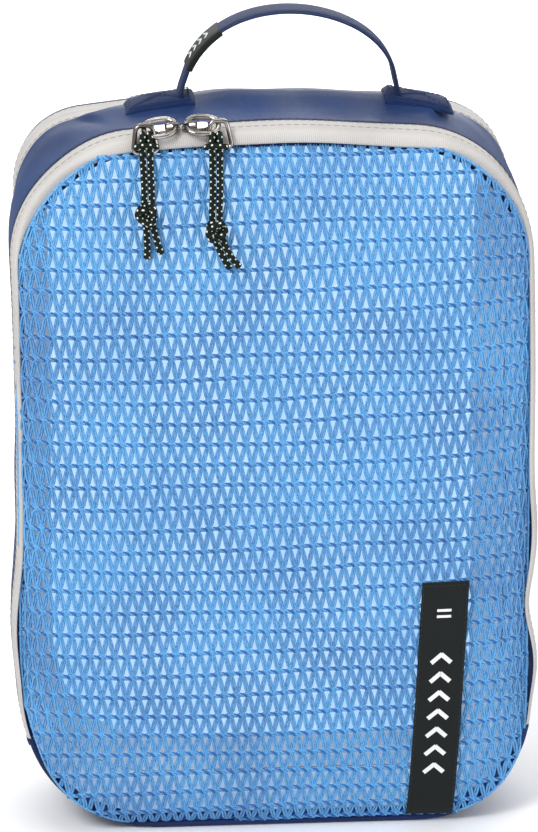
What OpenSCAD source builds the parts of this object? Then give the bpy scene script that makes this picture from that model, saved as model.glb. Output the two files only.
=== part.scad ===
/* [Body] */
// Width across the fabric sides
body_w = 180; // [165:1:195]
// Height from the resting face to the crown of the arched top
body_h = 251; // [225:1:270]
// Depth of the fabric gusset between the two zippers
gusset_depth = 40; // [30:1:60]
// Thickness of the coated fabric
fabric_t = 1.4; // [0.8:0.1:2]
// Radius of the gently arched top edge
top_arch_r = 520; // [400:10:700]
// Half width of the arched stretch, where the rounded corner starts
top_arch_x = 49; // [42:1:56]
// The same on the rear outline, whose corners are tighter
rear_arch_x = 66; // [60:1:70]
// Radius of the two bottom corners
bottom_corner_r = 44; // [30:1:55]

/* [Zippers] */
// Visible width of the case's tape on the front zipper
case_tape_w = 4.2; // [3:0.1:7]
// Visible width of each tape on the expansion zipper
exp_tape_w = 6.5; // [5:0.1:9]
// Thickness of a woven tape
tape_t = 1; // [0.6:0.1:1.2]
// Width of one row of coil teeth
coil_w = 1.5; // [1:0.1:2]
// Thickness of the coil
coil_t = 1.6; // [1.2:0.1:1.8]
// Slot between the two rows, which the slider's post runs in
coil_gap = 1.4; // [1.3:0.1:2]
// Height at which the front zipper ends on both sides
zip_end_z = 34; // [26:1:60]

/* [Lid] */
// Thickness of the net
net_t = 1; // [0.6:0.1:1.4]
// How far the filled net swells out of the rim
net_dome = 15; // [6:0.5:18]
// Width of the tape that frames the net
flange_w = 5; // [4:0.1:6.5]
// Width of the woven label
label_w = 16.4; // [10:0.2:20]
// Height of the lid's fold line, at the bottom seam
fold_z = 2; // [1.5:0.1:3]

/* [Expansion] */
// Depth of the rear strip behind the expansion zipper
rear_depth = 4; // [4:0.5:12]
// Width of the expansion ring, as a share of the gusset's
rear_width_share = 0.965; // [0.94:0.005:0.985]
// Height of the expansion ring, as a share of the gusset's
rear_height_share = 0.988; // [0.97:0.002:0.994]
// Height of the expansion slider on the right side
expansion_slider_z = 70; // [60:5:110]

/* [Handle] */
// Sideways place of the handle's middle
handle_x = 7.5; // [-10:0.5:10]
// Distance between the two feet
handle_span = 73; // [60:1:85]
// Rise of the arch above its feet
handle_rise = 30; // [22:1:40]
// Width of the webbing
webbing_w = 15; // [10:1:20]
// Thickness of the webbing
webbing_t = 1.8; // [1.2:0.1:2.4]
// Length of each sewn-down end
anchor_l = 24; // [16:1:30]

/* [Sliders and pulls] */
// Place along the top where the two sliders meet
meet_x = -31.5; // [-33:0.5:30]
// Length of a slider
slider_l = 9; // [8:0.5:12]
// Wire thickness of the oval ring
ring_wire = 1.3; // [1:0.1:1.6]
// Outside length of the oval ring
ring_l = 12; // [9:0.1:14]
// Outside width of the oval ring
ring_w = 8.4; // [7:0.1:10]
// Wire thickness of the trapezoid link
link_wire = 1.2; // [1:0.1:1.5]
// Diameter of the pull cord
cord_d = 2.2; // [1.6:0.1:3]

/* [Hidden] */
$fn = 48;
half_w = body_w / 2;

// Depth stations, measured back from the front face of the lid's tape.
lid_rim = 3.4;
lid_coil_y = lid_rim;
zip_y = lid_coil_y + coil_w + coil_gap / 2;
case_coil_y = zip_y + coil_gap / 2;
case_tape_y = case_coil_y + coil_w;
gusset_y = case_tape_y + case_tape_w;
exp_front_tape_y = gusset_y + gusset_depth;
exp_front_coil_y = exp_front_tape_y + exp_tape_w;
exp_zip_y = exp_front_coil_y + coil_w + coil_gap / 2;
exp_rear_coil_y = exp_zip_y + coil_gap / 2;
exp_rear_tape_y = exp_rear_coil_y + coil_w;
rear_y = exp_rear_tape_y + exp_tape_w;
back_y = rear_y + rear_depth;
net_inset = 3.6;
net_free_inset = flange_w + 3.3;
net_front_y = tape_t;
fold_y = 1.5;
binding_r = 1.3;
// The frame's origin is under the middle of the whole depth.
frame_y = -(back_y + net_front_y - net_dome) / 2;

fabric_blue = "#2c4a80";
tape_grey = "#cfccc8";
net_blue = "#5b9ee6";
metal = "#8f9095";
cord_green = "#1d2b22";
label_black = "#22262a";
webbing_blue = "#22407a";
lining = "#dfe7f2";

// ---- outline of the case, in x and z, at a distance d inside its surface ----

function arc(cx, cz, r, a0, a1, n, first = 0) =
    [for (i = [first:n]) let (a = a0 + (a1 - a0) * i / n) [cx + r * cos(a), cz + r * sin(a)]];

function corners(d, arch_x) =
    let (a = asin(arch_x / top_arch_r),
         r = (half_w - arch_x) / (1 - sin(a)),
         cx = sin(a) * (top_arch_r - r),
         cz = body_h - top_arch_r + cos(a) * (top_arch_r - r))
    concat(
        arc(half_w - bottom_corner_r, bottom_corner_r, bottom_corner_r - d, -90, 0, 8),
        arc(cx, cz, r - d, 0, 90 - a, 8),
        arc(0, body_h - top_arch_r, top_arch_r - d, 90 - a, 90 + a, 14, 1),
        arc(-cx, cz, r - d, 90 + a, 180, 8, 1),
        arc(bottom_corner_r - half_w, bottom_corner_r, bottom_corner_r - d, 180, 270, 8));

function outline(d) = corners(d, top_arch_x);

// Outline of the gusset's rear edge, with tighter top corners.
function gusset_rear(d) = corners(d, rear_arch_x);

// Outline of the expansion zipper and the rear section, a little smaller than the gusset's.
function rear_outline(d) = [for (p = gusset_rear(d)) [p[0] * rear_width_share, p[1] * rear_height_share]];

// Stands an x-z outline up and gives it depth, from y0 to y1.
module deep(y0, y1) {
    translate([0, frame_y + y1, 0])
        rotate([90, 0, 0])
            linear_extrude(y1 - y0)
                children();
}

// A closed band between two distances inside the surface.
module band(outer, inner, y0, y1) {
    deep(y0, y1)
        difference() {
            polygon(outline(outer));
            polygon(outline(inner));
        }
}

module rear_band(outer, inner, y0, y1) {
    deep(y0, y1)
        difference() {
            polygon(rear_outline(outer));
            polygon(rear_outline(inner));
        }
}

module above(z) {
    intersection() {
        children();
        translate([-body_w, -body_w, z])
            cube([2 * body_w, 2 * body_w, 2 * body_h]);
    }
}

module below(z) {
    intersection() {
        children();
        translate([-body_w, -body_w, z - body_h])
            cube([2 * body_w, 2 * body_w, body_h]);
    }
}

// ---- main case ----

function standing(outline, y) = [for (p = outline) [p[0], y, p[1]]];

// The gusset's wall runs from the round front outline to the rear one.
module gusset_wall() {
    n = len(outline(0));
    points = concat(standing(outline(0), gusset_y), standing(gusset_rear(0), exp_front_tape_y),
                    standing(outline(fabric_t), gusset_y), standing(gusset_rear(fabric_t), exp_front_tape_y));
    faces = [for (i = [0:n - 1]) let (j = (i + 1) % n)
        each [[i, j, n + i], [j, n + j, n + i],
              [2 * n + i, 3 * n + i, 2 * n + j], [2 * n + j, 3 * n + i, 3 * n + j],
              [i, 2 * n + i, j], [j, 2 * n + i, 2 * n + j],
              [n + j, 3 * n + i, n + i], [3 * n + j, 3 * n + i, n + j]]];
    translate([0, frame_y, 0])
        polyhedron(points, faces);
}

// The gusset turns inward at its rear edge, where the smaller expansion zipper is sewn on.
module main_gusset() {
    color(fabric_blue) {
        union() {
            gusset_wall();
            deep(exp_front_tape_y - fabric_t, exp_front_tape_y)
                difference() {
                    polygon(gusset_rear(0));
                    polygon(rear_outline(0.2 + tape_t));
                }
            below(zip_end_z - 0.5)
                band(0, fabric_t, 2 * binding_r + 0.4, gusset_y + 0.5);
        }
    }
}

// Bound seam along the bottom front edge; the lid folds about its middle.
module bottom_binding() {
    seam_half = half_w - bottom_corner_r;
    color(fabric_blue)
        translate([-seam_half, frame_y + fold_y, fold_z])
            rotate([0, 90, 0])
                cylinder(h = 2 * seam_half, r = binding_r);
}

module case_zip_tape() {
    color(tape_grey)
        above(zip_end_z)
            band(0.2, 0.2 + tape_t, case_tape_y, gusset_y);
}

module case_zip_coil() {
    color(tape_grey)
        above(zip_end_z)
            band(-0.1, coil_t - 0.1, case_coil_y, case_coil_y + coil_w);
}

// Cloth tabs that close the front zipper at both of its ends.
module zip_stops() {
    stop_l = 5;
    color(fabric_blue)
        above(zip_end_z - 0.4 - stop_l)
            below(zip_end_z - 0.4)
                band(-0.9, -0.1, zip_y + 0.2, zip_y + 6.2);
}

module expansion_tape(y0) {
    color(tape_grey)
        rear_band(0.2, 0.2 + tape_t, y0, y0 + exp_tape_w);
}

module expansion_coil(y0) {
    color(tape_grey)
        rear_band(0.1, 0.1 + coil_t, y0, y0 + coil_w);
}

module expansion_front_tape() {
    expansion_tape(exp_front_tape_y);
}

module expansion_front_coil() {
    expansion_coil(exp_front_coil_y);
}

// Folded strip inside the expansion zipper. It is let out as the rear section slides back.
module expansion_pleat() {
    inset = 4.4;
    color(fabric_blue)
        rear_band(inset, inset + 0.8, exp_front_coil_y - 2, exp_rear_tape_y + 2);
}

// ---- things on the arched top ----

// Puts its children on the top at a sideways place, square to the surface.
module at_top(x) {
    translate([0, frame_y, body_h - top_arch_r])
        rotate([0, asin(x / top_arch_r), 0])
            translate([0, 0, top_arch_r])
                children();
}

handle_y = gusset_y + 26;
anchor_t = 2.2;
anchor_offset = handle_span / 2 + 7.8;
handle_axis_w = 3.8;
knuckle_r = 2.3;

module anchor(side) {
    color(webbing_blue)
        at_top(handle_x + side * anchor_offset)
            translate([-anchor_l / 2, handle_y - webbing_w / 2 - 0.5, 0.05])
                cube([anchor_l, webbing_w + 1, anchor_t]);
}

module handle_anchor_left() {
    anchor(-1);
}

module handle_anchor_right() {
    anchor(1);
}

function half_ellipse(a, b) = [for (i = [0:28]) let (t = 180 * i / 28) [a * cos(t), b * sin(t)]];

module arch_section(grow) {
    difference() {
        polygon(half_ellipse(handle_span / 2 + webbing_t / 2 + grow, handle_rise + grow));
        polygon(half_ellipse(handle_span / 2 - webbing_t / 2 - grow,
                             handle_rise - webbing_t - grow));
    }
}

// The arch narrows to a round knuckle at each foot, which turns just above its anchor.
module handle_strap() {
    full_at = 13;
    color(webbing_blue)
        at_top(handle_x)
            translate([0, handle_y, handle_axis_w]) {
                union() {
                    intersection() {
                        translate([0, webbing_w / 2, 0])
                            rotate([90, 0, 0])
                                linear_extrude(webbing_w)
                                    arch_section(0);
                        translate([-handle_span, 0, 0])
                            rotate([90, 0, 90])
                                linear_extrude(2 * handle_span)
                                    polygon([[-knuckle_r, 0], [knuckle_r, 0],
                                             [webbing_w / 2, full_at], [webbing_w / 2, 2 * handle_rise],
                                             [-webbing_w / 2, 2 * handle_rise], [-webbing_w / 2, full_at]]);
                    }
                    for (side = [-1, 1])
                        translate([side * handle_span / 2 - webbing_t / 2, 0, 0])
                            rotate([0, 90, 0])
                                cylinder(h = webbing_t, r = knuckle_r);
                }
            }
}

// Folded cloth tag round the left leg of the arch.
module handle_tag() {
    tag_t = 0.6;
    play = 0.1;
    color(label_black)
        at_top(handle_x)
            translate([0, handle_y, handle_axis_w])
                difference() {
                    intersection() {
                        translate([0, webbing_w / 2 + play + tag_t, 0])
                            rotate([90, 0, 0])
                                linear_extrude(webbing_w + 2 * (play + tag_t))
                                    arch_section(play + tag_t);
                        translate([-handle_span, -webbing_w, 8.4])
                            cube([handle_span * 0.72, 2 * webbing_w, 14.1]);
                    }
                    translate([0, webbing_w / 2 + play, 0])
                        rotate([90, 0, 0])
                            linear_extrude(webbing_w + 2 * play)
                                arch_section(play);
                }
}

// ---- lid ----

net_centre_z = (body_h + 2 * net_inset) / 2 - net_inset / 2;

// How far the net swells out, as a share, at a place on the front.
function swell(x, z) =
    sqrt(1 - pow(min(1, abs(x) / (half_w - net_free_inset)), 3)) *
    sqrt(1 - pow(min(1, abs(z - net_centre_z) / (body_h / 2 - net_free_inset)), 3));

function net_y(x, z) = net_front_y - net_dome * swell(x, z);

net_scales = [0.97, 0.93, 0.87, 0.79, 0.69, 0.56, 0.4, 0.2];

function net_ring(s) = [for (p = outline(net_free_inset))
    let (x = p[0] * s, z = net_centre_z + (p[1] - net_centre_z) * s) [x, net_y(x, z), z]];

function flat_ring(d) = [for (p = outline(d)) [p[0], net_front_y, p[1]]];

net_rings = concat([flat_ring(net_inset), flat_ring(net_free_inset)],
                   [for (s = net_scales) net_ring(s)]);

module lid_net() {
    n = len(net_rings[0]);
    layers = len(net_rings);
    front = [for (ring = net_rings) for (p = ring) p];
    back = [for (p = front) p + [0, net_t, 0]];
    middle = [0, net_y(0, net_centre_z), net_centre_z];
    points = concat(front, back, [middle, middle + [0, net_t, 0]]);
    offset_back = n * layers;
    m = 2 * n * layers;
    faces = concat(
        [for (k = [0:layers - 2]) for (i = [0:n - 1]) let (j = (i + 1) % n)
            each [[k * n + i, (k + 1) * n + i, k * n + j], [k * n + j, (k + 1) * n + i, (k + 1) * n + j]]],
        [for (k = [0:layers - 2]) for (i = [0:n - 1]) let (j = (i + 1) % n, o = offset_back)
            each [[o + k * n + j, o + (k + 1) * n + i, o + k * n + i],
                  [o + (k + 1) * n + j, o + (k + 1) * n + i, o + k * n + j]]],
        [for (i = [0:n - 1]) let (j = (i + 1) % n) [(layers - 1) * n + i, m, (layers - 1) * n + j]],
        [for (i = [0:n - 1]) let (j = (i + 1) % n, o = offset_back)
            [o + (layers - 1) * n + j, m + 1, o + (layers - 1) * n + i]],
        [for (i = [0:n - 1]) let (j = (i + 1) % n, o = offset_back)
            each [[i, j, o + i], [j, o + j, o + i]]]);
    color(net_blue)
        translate([0, frame_y, 0])
            polyhedron(points, faces);
}

// Tape on the lid: it lies along the edge and turns down over the front to frame the net.
module lid_zip_tape() {
    color(tape_grey)
        above(zip_end_z)
            union() {
                band(0.2, 0.2 + flange_w, 0, tape_t);
                band(0.2, 0.2 + tape_t, tape_t - 0.2, lid_rim);
            }
}

module lid_zip_coil() {
    color(tape_grey)
        above(zip_end_z)
            band(-0.1, coil_t - 0.1, lid_coil_y, lid_coil_y + coil_w);
}

// Woven label that follows the swell of the net down to the bottom seam.
label_top = [58.2, 91];
label_foot = [54, 4.4];
label_t = 0.5;

module front_label() {
    steps = 14;
    gap = 0.5;
    rows = [for (i = [0:steps]) let (c = label_foot + (label_top - label_foot) * i / steps)
        for (side = [-1, 1]) let (x = c[0] + side * label_w / 2) [x, net_y(x, c[1]) - gap, c[1]]];
    n = len(rows);
    points = concat(rows, [for (p = rows) p - [0, label_t, 0]]);
    faces = concat(
        [for (i = [0:steps - 1]) let (a = 2 * i)
            each [[a, a + 2, a + 1], [a + 1, a + 2, a + 3],
                  [n + a, n + a + 1, n + a + 2], [n + a + 1, n + a + 3, n + a + 2],
                  [a, n + a, a + 2], [n + a, n + a + 2, a + 2],
                  [a + 1, a + 3, n + a + 1], [n + a + 1, a + 3, n + a + 3]]],
        [[0, 1, n], [1, n + 1, n], [n - 2, 2 * n - 2, n - 1], [n - 1, 2 * n - 2, 2 * n - 1]]);
    color(label_black)
        translate([0, frame_y, 0])
            polyhedron(points, faces);
}

// ---- rear section ----

rear_inset = 0.4;
back_panel_t = 1.2;

module expansion_rear_coil() {
    expansion_coil(exp_rear_coil_y);
}

module expansion_rear_tape() {
    expansion_tape(exp_rear_tape_y);
}

module rear_gusset() {
    color(fabric_blue)
        rear_band(rear_inset, rear_inset + fabric_t, rear_y, back_y);
}

module back_panel() {
    color(lining)
        deep(back_y - back_panel_t, back_y)
            polygon(rear_outline(rear_inset + fabric_t));
}

// Binding tape over the seam between the rear strip and the back panel, inside.
module rear_binding() {
    inset = rear_inset + fabric_t;
    color(webbing_blue)
        rear_band(inset, inset + 5, back_y - back_panel_t - 0.8, back_y - back_panel_t);
}

// ---- sliders, rings and links ----

// Everything is drawn for the left slider, in a frame at the meeting point:
// x along the zipper, y back, z out of the top. The right slider is its mirror image.
module on_zip(side) {
    at_top(meet_x)
        mirror([side > 0 ? 1 : 0, 0, 0])
            children();
}

ring_tilt = 40;
ring_y = 0.2;
ring_z = 2.7;
ring_end = -1.9;
ring_corner_r = 2.9;
ring_long = ring_l - ring_wire;
ring_wide = ring_w - ring_wire;
// Each ring droops a little at its outer end, in its own plane.
function ring_droop(side) = side > 0 ? 7 : 5;
function ring_drop(side) = ring_long * sin(ring_droop(side));
plate_t = 0.9;
top_plate_z = 0.4;
bottom_plate_z = -2.8;
plate_rear = zip_y + 3.6;

module slider(side) {
    color(metal)
        on_zip(side)
            union() {
                translate([-0.4 - slider_l, 0.1, top_plate_z])
                    cube([slider_l, plate_rear - 0.1, plate_t]);
                translate([-0.4 - slider_l, tape_t + 1.1, bottom_plate_z])
                    cube([slider_l, plate_rear - tape_t - 1.1, plate_t]);
                translate([-1.6, zip_y, bottom_plate_z + plate_t / 2])
                    cylinder(h = top_plate_z - bottom_plate_z, r = 0.55);
                bridge();
            }
}

// Bridge that leans out over the edge and holds the ring's inner end.
module bridge() {
    leg = 0.9;
    run = 5.2;
    height = 3.7;
    opening = [run - 2 * leg + 0.2, 3, 2.3];
    foot = 1.75;
    translate([0, ring_y, ring_z])
        rotate([ring_tilt, 0, 0])
            translate([-0.4 - run, -0.65, -foot])
                difference() {
                    cube([run, 1.3, height]);
                    translate([leg, -1, 0.4])
                        cube(opening);
                }
}

module slider_left() {
    slider(-1);
}

module slider_right() {
    slider(1);
}

// Oval wire ring, lying outward from the bridge. Its short straight ends are the pivots.
module ring(side) {
    side_run = ring_long - 2 * ring_corner_r;
    end_run = ring_wide - 2 * ring_corner_r;
    corners = [[1, 1, 0], [-1, 1, 90], [-1, -1, 180], [1, -1, 270]];
    color(metal)
        on_zip(side)
            translate([ring_end, ring_y, ring_z])
                rotate([ring_tilt, 0, 0])
                    rotate([0, 0, ring_droop(side)])
                        translate([-ring_long / 2, 0, 0])
                            union() {
                                for (s = [-1, 1]) {
                                    translate([-side_run / 2, s * ring_wide / 2, 0])
                                        rotate([0, 90, 0])
                                            cylinder(h = side_run, d = ring_wire);
                                    translate([s * ring_long / 2, end_run / 2, 0])
                                        rotate([90, 0, 0])
                                            cylinder(h = end_run, d = ring_wire);
                                }
                                for (c = corners)
                                    translate([c[0] * side_run / 2, c[1] * end_run / 2, 0])
                                        rotate([0, 0, c[2]])
                                            rotate_extrude(angle = 90)
                                                translate([ring_corner_r, 0])
                                                    circle(d = ring_wire, $fn = 24);
                            }
}

module ring_left() {
    ring(-1);
}

module ring_right() {
    ring(1);
}

// Trapezoid link: its corners as sideways place and distance down the leaning link.
link_lean = 10;
link_top_y = 0.1;
link_top_z = 4.5;
link_x = ring_end - ring_long + 0.1;
link_corners = [[-2.7, 0], [2.7, 0], [4.2, 9.2], [-4.2, 9.2]];

function link_point(c) = [link_x + c[0], link_top_y - c[1] * sin(link_lean), link_top_z - c[1] * cos(link_lean)];

module rod(a, b, d) {
    v = b - a;
    length = norm(v);
    translate(a)
        rotate([0, acos(v[2] / length), atan2(v[1], v[0])])
            cylinder(h = length, d = d, $fn = 24);
}

module link(side) {
    color(metal)
        on_zip(side)
            translate([0, -ring_drop(side) * cos(ring_tilt), -ring_drop(side) * sin(ring_tilt)])
                for (i = [0:3]) {
                    rod(link_point(link_corners[i]), link_point(link_corners[(i + 1) % 4]), link_wire);
                    translate(link_point(link_corners[i]))
                        sphere(d = link_wire, $fn = 24);
                }
}

module link_left() {
    link(-1);
}

module link_right() {
    link(1);
}

// ---- pull cords ----

// Routes of the four strands, each from the hitch through the knot to its cut tail.
cord_left_outer_route = [[-44.7, -4.1, 247.4], [-44.7, -4.8, 242], [-44.6, -6.2, 237.5], [-44.5, -8.2, 232.5],
    [-44.6, -10, 227.5], [-44.5, -11.2, 223], [-44.1, -12, 219], [-43.9, -12.4, 214.8], [-44, -12.6, 210.6]];
cord_left_inner_route = [[-42.3, -4.1, 247.4], [-42.3, -4.8, 242], [-42.2, -6.2, 237.5], [-42.1, -8.2, 232.5],
    [-42.2, -10, 227.5], [-42.1, -11.2, 223], [-41.4, -12, 219], [-40.4, -12.5, 215.4], [-39.4, -12.8, 212.2]];
cord_right_outer_route = [[-19, -4.4, 247], [-19, -5.2, 241], [-19.1, -7.4, 235.6], [-19.3, -9.6, 230],
    [-19.6, -11.4, 224.4], [-19.3, -12.7, 219], [-17.9, -13.5, 214.4], [-15.7, -14, 210.4], [-13.3, -14.3, 207.4]];
cord_right_inner_route = [[-21.4, -4.4, 247], [-21.4, -5.2, 241], [-21.5, -7.4, 235.6], [-21.7, -9.6, 230],
    [-22, -11.4, 224.4], [-21.7, -12.7, 219], [-20.3, -13.5, 214.2], [-18.3, -14, 210.2], [-16.5, -14.3, 207]];

function unit(v) = v / norm(v);

function tangent(points, i) = unit(points[min(i + 1, len(points) - 1)] - points[max(i - 1, 0)]);

// One closed tube along a route, with a ring of corners at each point.
module tube(points, d) {
    sides = 8;
    n = len(points);
    rings = [for (i = [0:n - 1]) let (t = tangent(points, i), a = unit(cross(t, [0, 1, 0])), b = cross(t, a))
        for (k = [0:sides - 1]) let (w = 360 * k / sides) points[i] + d / 2 * (a * cos(w) + b * sin(w))];
    faces = concat(
        [for (i = [0:n - 2]) for (k = [0:sides - 1]) let (l = (k + 1) % sides)
            each [[i * sides + k, i * sides + l, (i + 1) * sides + k],
                  [i * sides + l, (i + 1) * sides + l, (i + 1) * sides + k]]],
        [[for (k = [sides - 1:-1:0]) k]],
        [[for (k = [0:sides - 1]) (n - 1) * sides + k]]);
    color(cord_green)
        translate([0, frame_y, 0])
            polyhedron(rings, faces);
}

module cord_left_outer() {
    tube(cord_left_outer_route, cord_d);
}

module cord_left_inner() {
    tube(cord_left_inner_route, cord_d);
}

module cord_right_outer() {
    tube(cord_right_outer_route, cord_d);
}

module cord_right_inner() {
    tube(cord_right_inner_route, cord_d);
}

module cord_ball(p, r) {
    color(cord_green)
        translate([p[0], frame_y + p[1], p[2]])
            sphere(r = r, $fn = 32);
}

hitch_r = 2.4;
knot_r = 3.9;

module hitch_left() {
    cord_ball([-43.5, -4, 245.8], hitch_r);
}

module hitch_right() {
    cord_ball([-20.2, -4.3, 245.6], hitch_r);
}

module knot_left() {
    cord_ball([-43.4, -12.5, 225.2], knot_r);
}

module knot_right() {
    cord_ball([-20.6, -14.2, 219.4], knot_r);
}

// ---- expansion slider, on the right side ----

// Puts its children on the right side at a height: x along the zipper (up), y back, z out of the side.
module on_side() {
    translate([half_w * rear_width_share, frame_y, expansion_slider_z])
        rotate([0, 90, 0])
            mirror([1, 0, 0])
                children();
}

exp_bridge_x = 2.2;
exp_pull_z = 2.55;

module expansion_slider() {
    color(metal)
        on_side()
            union() {
                translate([-4.5, exp_zip_y - 3.6, 0.6])
                    cube([9, 7.2, plate_t]);
                translate([-4.5, exp_zip_y - 3.6, -3.2])
                    cube([9, 7.2, plate_t]);
                translate([3.4, exp_zip_y, -2.8])
                    cylinder(h = 3.8, r = 0.55);
                translate([exp_bridge_x - 2, exp_zip_y - 0.6, 0.6 + plate_t / 2])
                    difference() {
                        cube([4, 1.2, 3]);
                        translate([0.8, -1, 0.7])
                            cube([2.4, 4, 1.5]);
                    }
            }
}

// Stamped tab of the expansion slider, hanging down its zipper.
module expansion_pull() {
    color(metal)
        on_side()
            translate([exp_bridge_x, exp_zip_y, exp_pull_z])
                union() {
                    translate([0, 1.5, 0])
                        rotate([90, 0, 0])
                            cylinder(h = 3, d = 1);
                    for (s = [-1, 1])
                        translate([-5.5, s * 1.8 - 0.6, -0.5])
                            cube([6, 1.2, 1]);
                    translate([-20, -2.4, -0.5])
                        cube([14.6, 4.8, 1]);
                }
}

main_gusset();
bottom_binding();
case_zip_tape();
case_zip_coil();
zip_stops();
expansion_front_tape();
expansion_front_coil();
expansion_pleat();
handle_anchor_left();
handle_anchor_right();
lid_net();
lid_zip_tape();
lid_zip_coil();
front_label();
expansion_rear_tape();
expansion_rear_coil();
rear_gusset();
back_panel();
rear_binding();
handle_strap();
handle_tag();
slider_left();
slider_right();
ring_left();
ring_right();
link_left();
link_right();
hitch_left();
hitch_right();
knot_left();
knot_right();
cord_left_outer();
cord_left_inner();
cord_right_outer();
cord_right_inner();
expansion_slider();
expansion_pull();
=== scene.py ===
import math

import bmesh
import bpy
import numpy as np
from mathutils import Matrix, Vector


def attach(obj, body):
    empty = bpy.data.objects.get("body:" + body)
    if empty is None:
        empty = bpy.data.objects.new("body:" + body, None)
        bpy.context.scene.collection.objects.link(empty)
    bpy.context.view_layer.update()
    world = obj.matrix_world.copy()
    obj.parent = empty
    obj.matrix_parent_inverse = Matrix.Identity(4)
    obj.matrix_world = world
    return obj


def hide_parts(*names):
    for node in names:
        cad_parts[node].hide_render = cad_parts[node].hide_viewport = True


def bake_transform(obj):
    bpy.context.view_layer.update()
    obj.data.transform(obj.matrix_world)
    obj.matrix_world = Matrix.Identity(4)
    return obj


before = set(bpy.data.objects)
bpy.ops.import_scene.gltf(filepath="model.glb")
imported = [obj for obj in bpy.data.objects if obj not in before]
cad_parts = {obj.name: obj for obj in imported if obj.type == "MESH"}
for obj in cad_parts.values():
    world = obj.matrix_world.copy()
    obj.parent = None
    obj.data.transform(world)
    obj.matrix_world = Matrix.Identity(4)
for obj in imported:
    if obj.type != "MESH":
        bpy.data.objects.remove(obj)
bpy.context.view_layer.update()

# ---------------------------------------------------------------- sizes, in millimetres
# x to the right, y back from the front face of the lid's tape, z up from the floor.
HALF_W, BODY_H, ARCH_R, ARCH_X, REAR_ARCH_X = 90.0, 251.0, 520.0, 49.0, 66.0
REAR_X, REAR_Z = 0.965, 0.988
GUSSET_Y, EXP_Y, EXP_ZIP_Y, BACK_Y = 12.0, 52.0, 60.7, 73.4
ZIP_END_Z, NET_DOME = 34.0, 15.0
FRAME_Y = -(BACK_Y + 1 - NET_DOME) / 2
MEET_X, HANDLE_X, HANDLE_Y, WEB_W = -31.5, 7.5, 38.0, 15.0
CORD_D = 2.2


def metres(points):
    """Design millimetres to the row frame, in metres."""
    p = np.asarray(points, float).copy()
    p[..., 1] += FRAME_Y
    return p * 0.001


def smooth_step(a, b, v):
    t = np.clip((np.asarray(v, float) - a) / (b - a), 0, 1)
    return t * t * (3 - 2 * t)


# ---------------------------------------------------------------- mesh building
def put_in(name, data):
    o = bpy.data.objects.new(name, data)
    bpy.context.scene.collection.objects.link(o)
    return o


def mesh_object(name, verts, faces, material, body, uv, sharp=35):
    """verts in design millimetres; uv is one pair per face corner."""
    me = bpy.data.meshes.new(name)
    me.from_pydata(metres(verts).tolist(), [], [list(map(int, f)) for f in faces])
    me.uv_layers.new(name="UVMap").data.foreach_set("uv", np.asarray(uv, np.float32).ravel())
    me.materials.append(material)
    me.polygons.foreach_set("use_smooth", [True] * len(me.polygons))
    me.validate()
    if sharp:
        me.set_sharp_from_angle(angle=math.radians(sharp))
    me.update()
    o = put_in(name, me)
    if body:
        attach(o, body)
    return o


def grid_faces(n, m, close_n=False, close_m=False, start=0):
    i = np.arange(n if close_n else n - 1)[:, None]
    j = np.arange(m if close_m else m - 1)[None, :]
    i2, j2 = (i + 1) % n, (j + 1) % m
    f = np.stack([i * m + j, i2 * m + j, i2 * m + j2, i * m + j2], -1)
    return (f + start).reshape(-1, 4)


def grid_uv(u, v):
    """Corner pairs for grid_faces; u and v have one more entry where the grid closes."""
    u, v = np.asarray(u, float), np.asarray(v, float)
    n, m = len(u) - 1, len(v) - 1
    i = np.arange(n)[:, None].repeat(m, 1)
    j = np.arange(m)[None, :].repeat(n, 0)
    c = [np.stack([u[a], v[b]], -1) for a, b in ((i, j), (i + 1, j), (i + 1, j + 1), (i, j + 1))]
    return np.stack(c, 2).reshape(-1, 2)


def along(points):
    """Distance from the first point to each of them."""
    return np.concatenate([[0], np.cumsum(np.linalg.norm(np.diff(points, axis=0), axis=1))])


def unit(v):
    return v / np.maximum(np.linalg.norm(v, axis=-1, keepdims=True), 1e-9)


def filaments(lines, radius, sides=5, ref=(0, 1, 0)):
    """Many open threads of the same number of points, as (verts, faces)."""
    lines = np.asarray(lines, float)
    k, m, _ = lines.shape
    t = unit(np.gradient(lines, axis=1))
    a = unit(np.cross(t, np.array(ref, float)))
    b = np.cross(t, a)
    w = 2 * math.pi * np.arange(sides) / sides
    ring = a[:, :, None] * np.cos(w)[None, None, :, None] + b[:, :, None] * np.sin(w)[None, None, :, None]
    r = np.broadcast_to(np.asarray(radius, float), (k, m))
    verts = lines[:, :, None] + ring * r[:, :, None, None]
    one = grid_faces(m, sides, close_m=True)
    faces = one[None] + (np.arange(k) * m * sides)[:, None, None]
    return verts.reshape(-1, 3), faces.reshape(-1, 4)


def frames(points):
    """Tangents and a twist-free pair of normals along a line."""
    p = np.asarray(points, float)
    t = unit(np.gradient(p, axis=0))
    a = np.cross(t[0], [0, 1, 0])
    if np.linalg.norm(a) < 0.2:
        a = np.cross(t[0], [1, 0, 0])
    a = unit(a)
    normals = [a]
    for i in range(1, len(p)):
        a = a - t[i] * np.dot(a, t[i])
        a = unit(a)
        normals.append(a)
    a = np.array(normals)
    return t, a, np.cross(t, a)


def spline(points, per=6, closed=False):
    """Catmull-Rom curve through given points."""
    p = np.asarray(points, float)
    q = np.vstack([p[-1:], p, p[:2]]) if closed else np.vstack([2 * p[0] - p[1], p, 2 * p[-1] - p[-2]])
    out = []
    for i in range(len(p) if closed else len(p) - 1):
        a, b, c, d = q[i:i + 4]
        for s in range(per):
            t = s / per
            out.append(0.5 * ((2 * b) + (c - a) * t + (2 * a - 5 * b + 4 * c - d) * t * t
                              + (3 * b - a - 3 * c + d) * t ** 3))
    if not closed:
        out.append(p[-1])
    return np.array(out)


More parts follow.
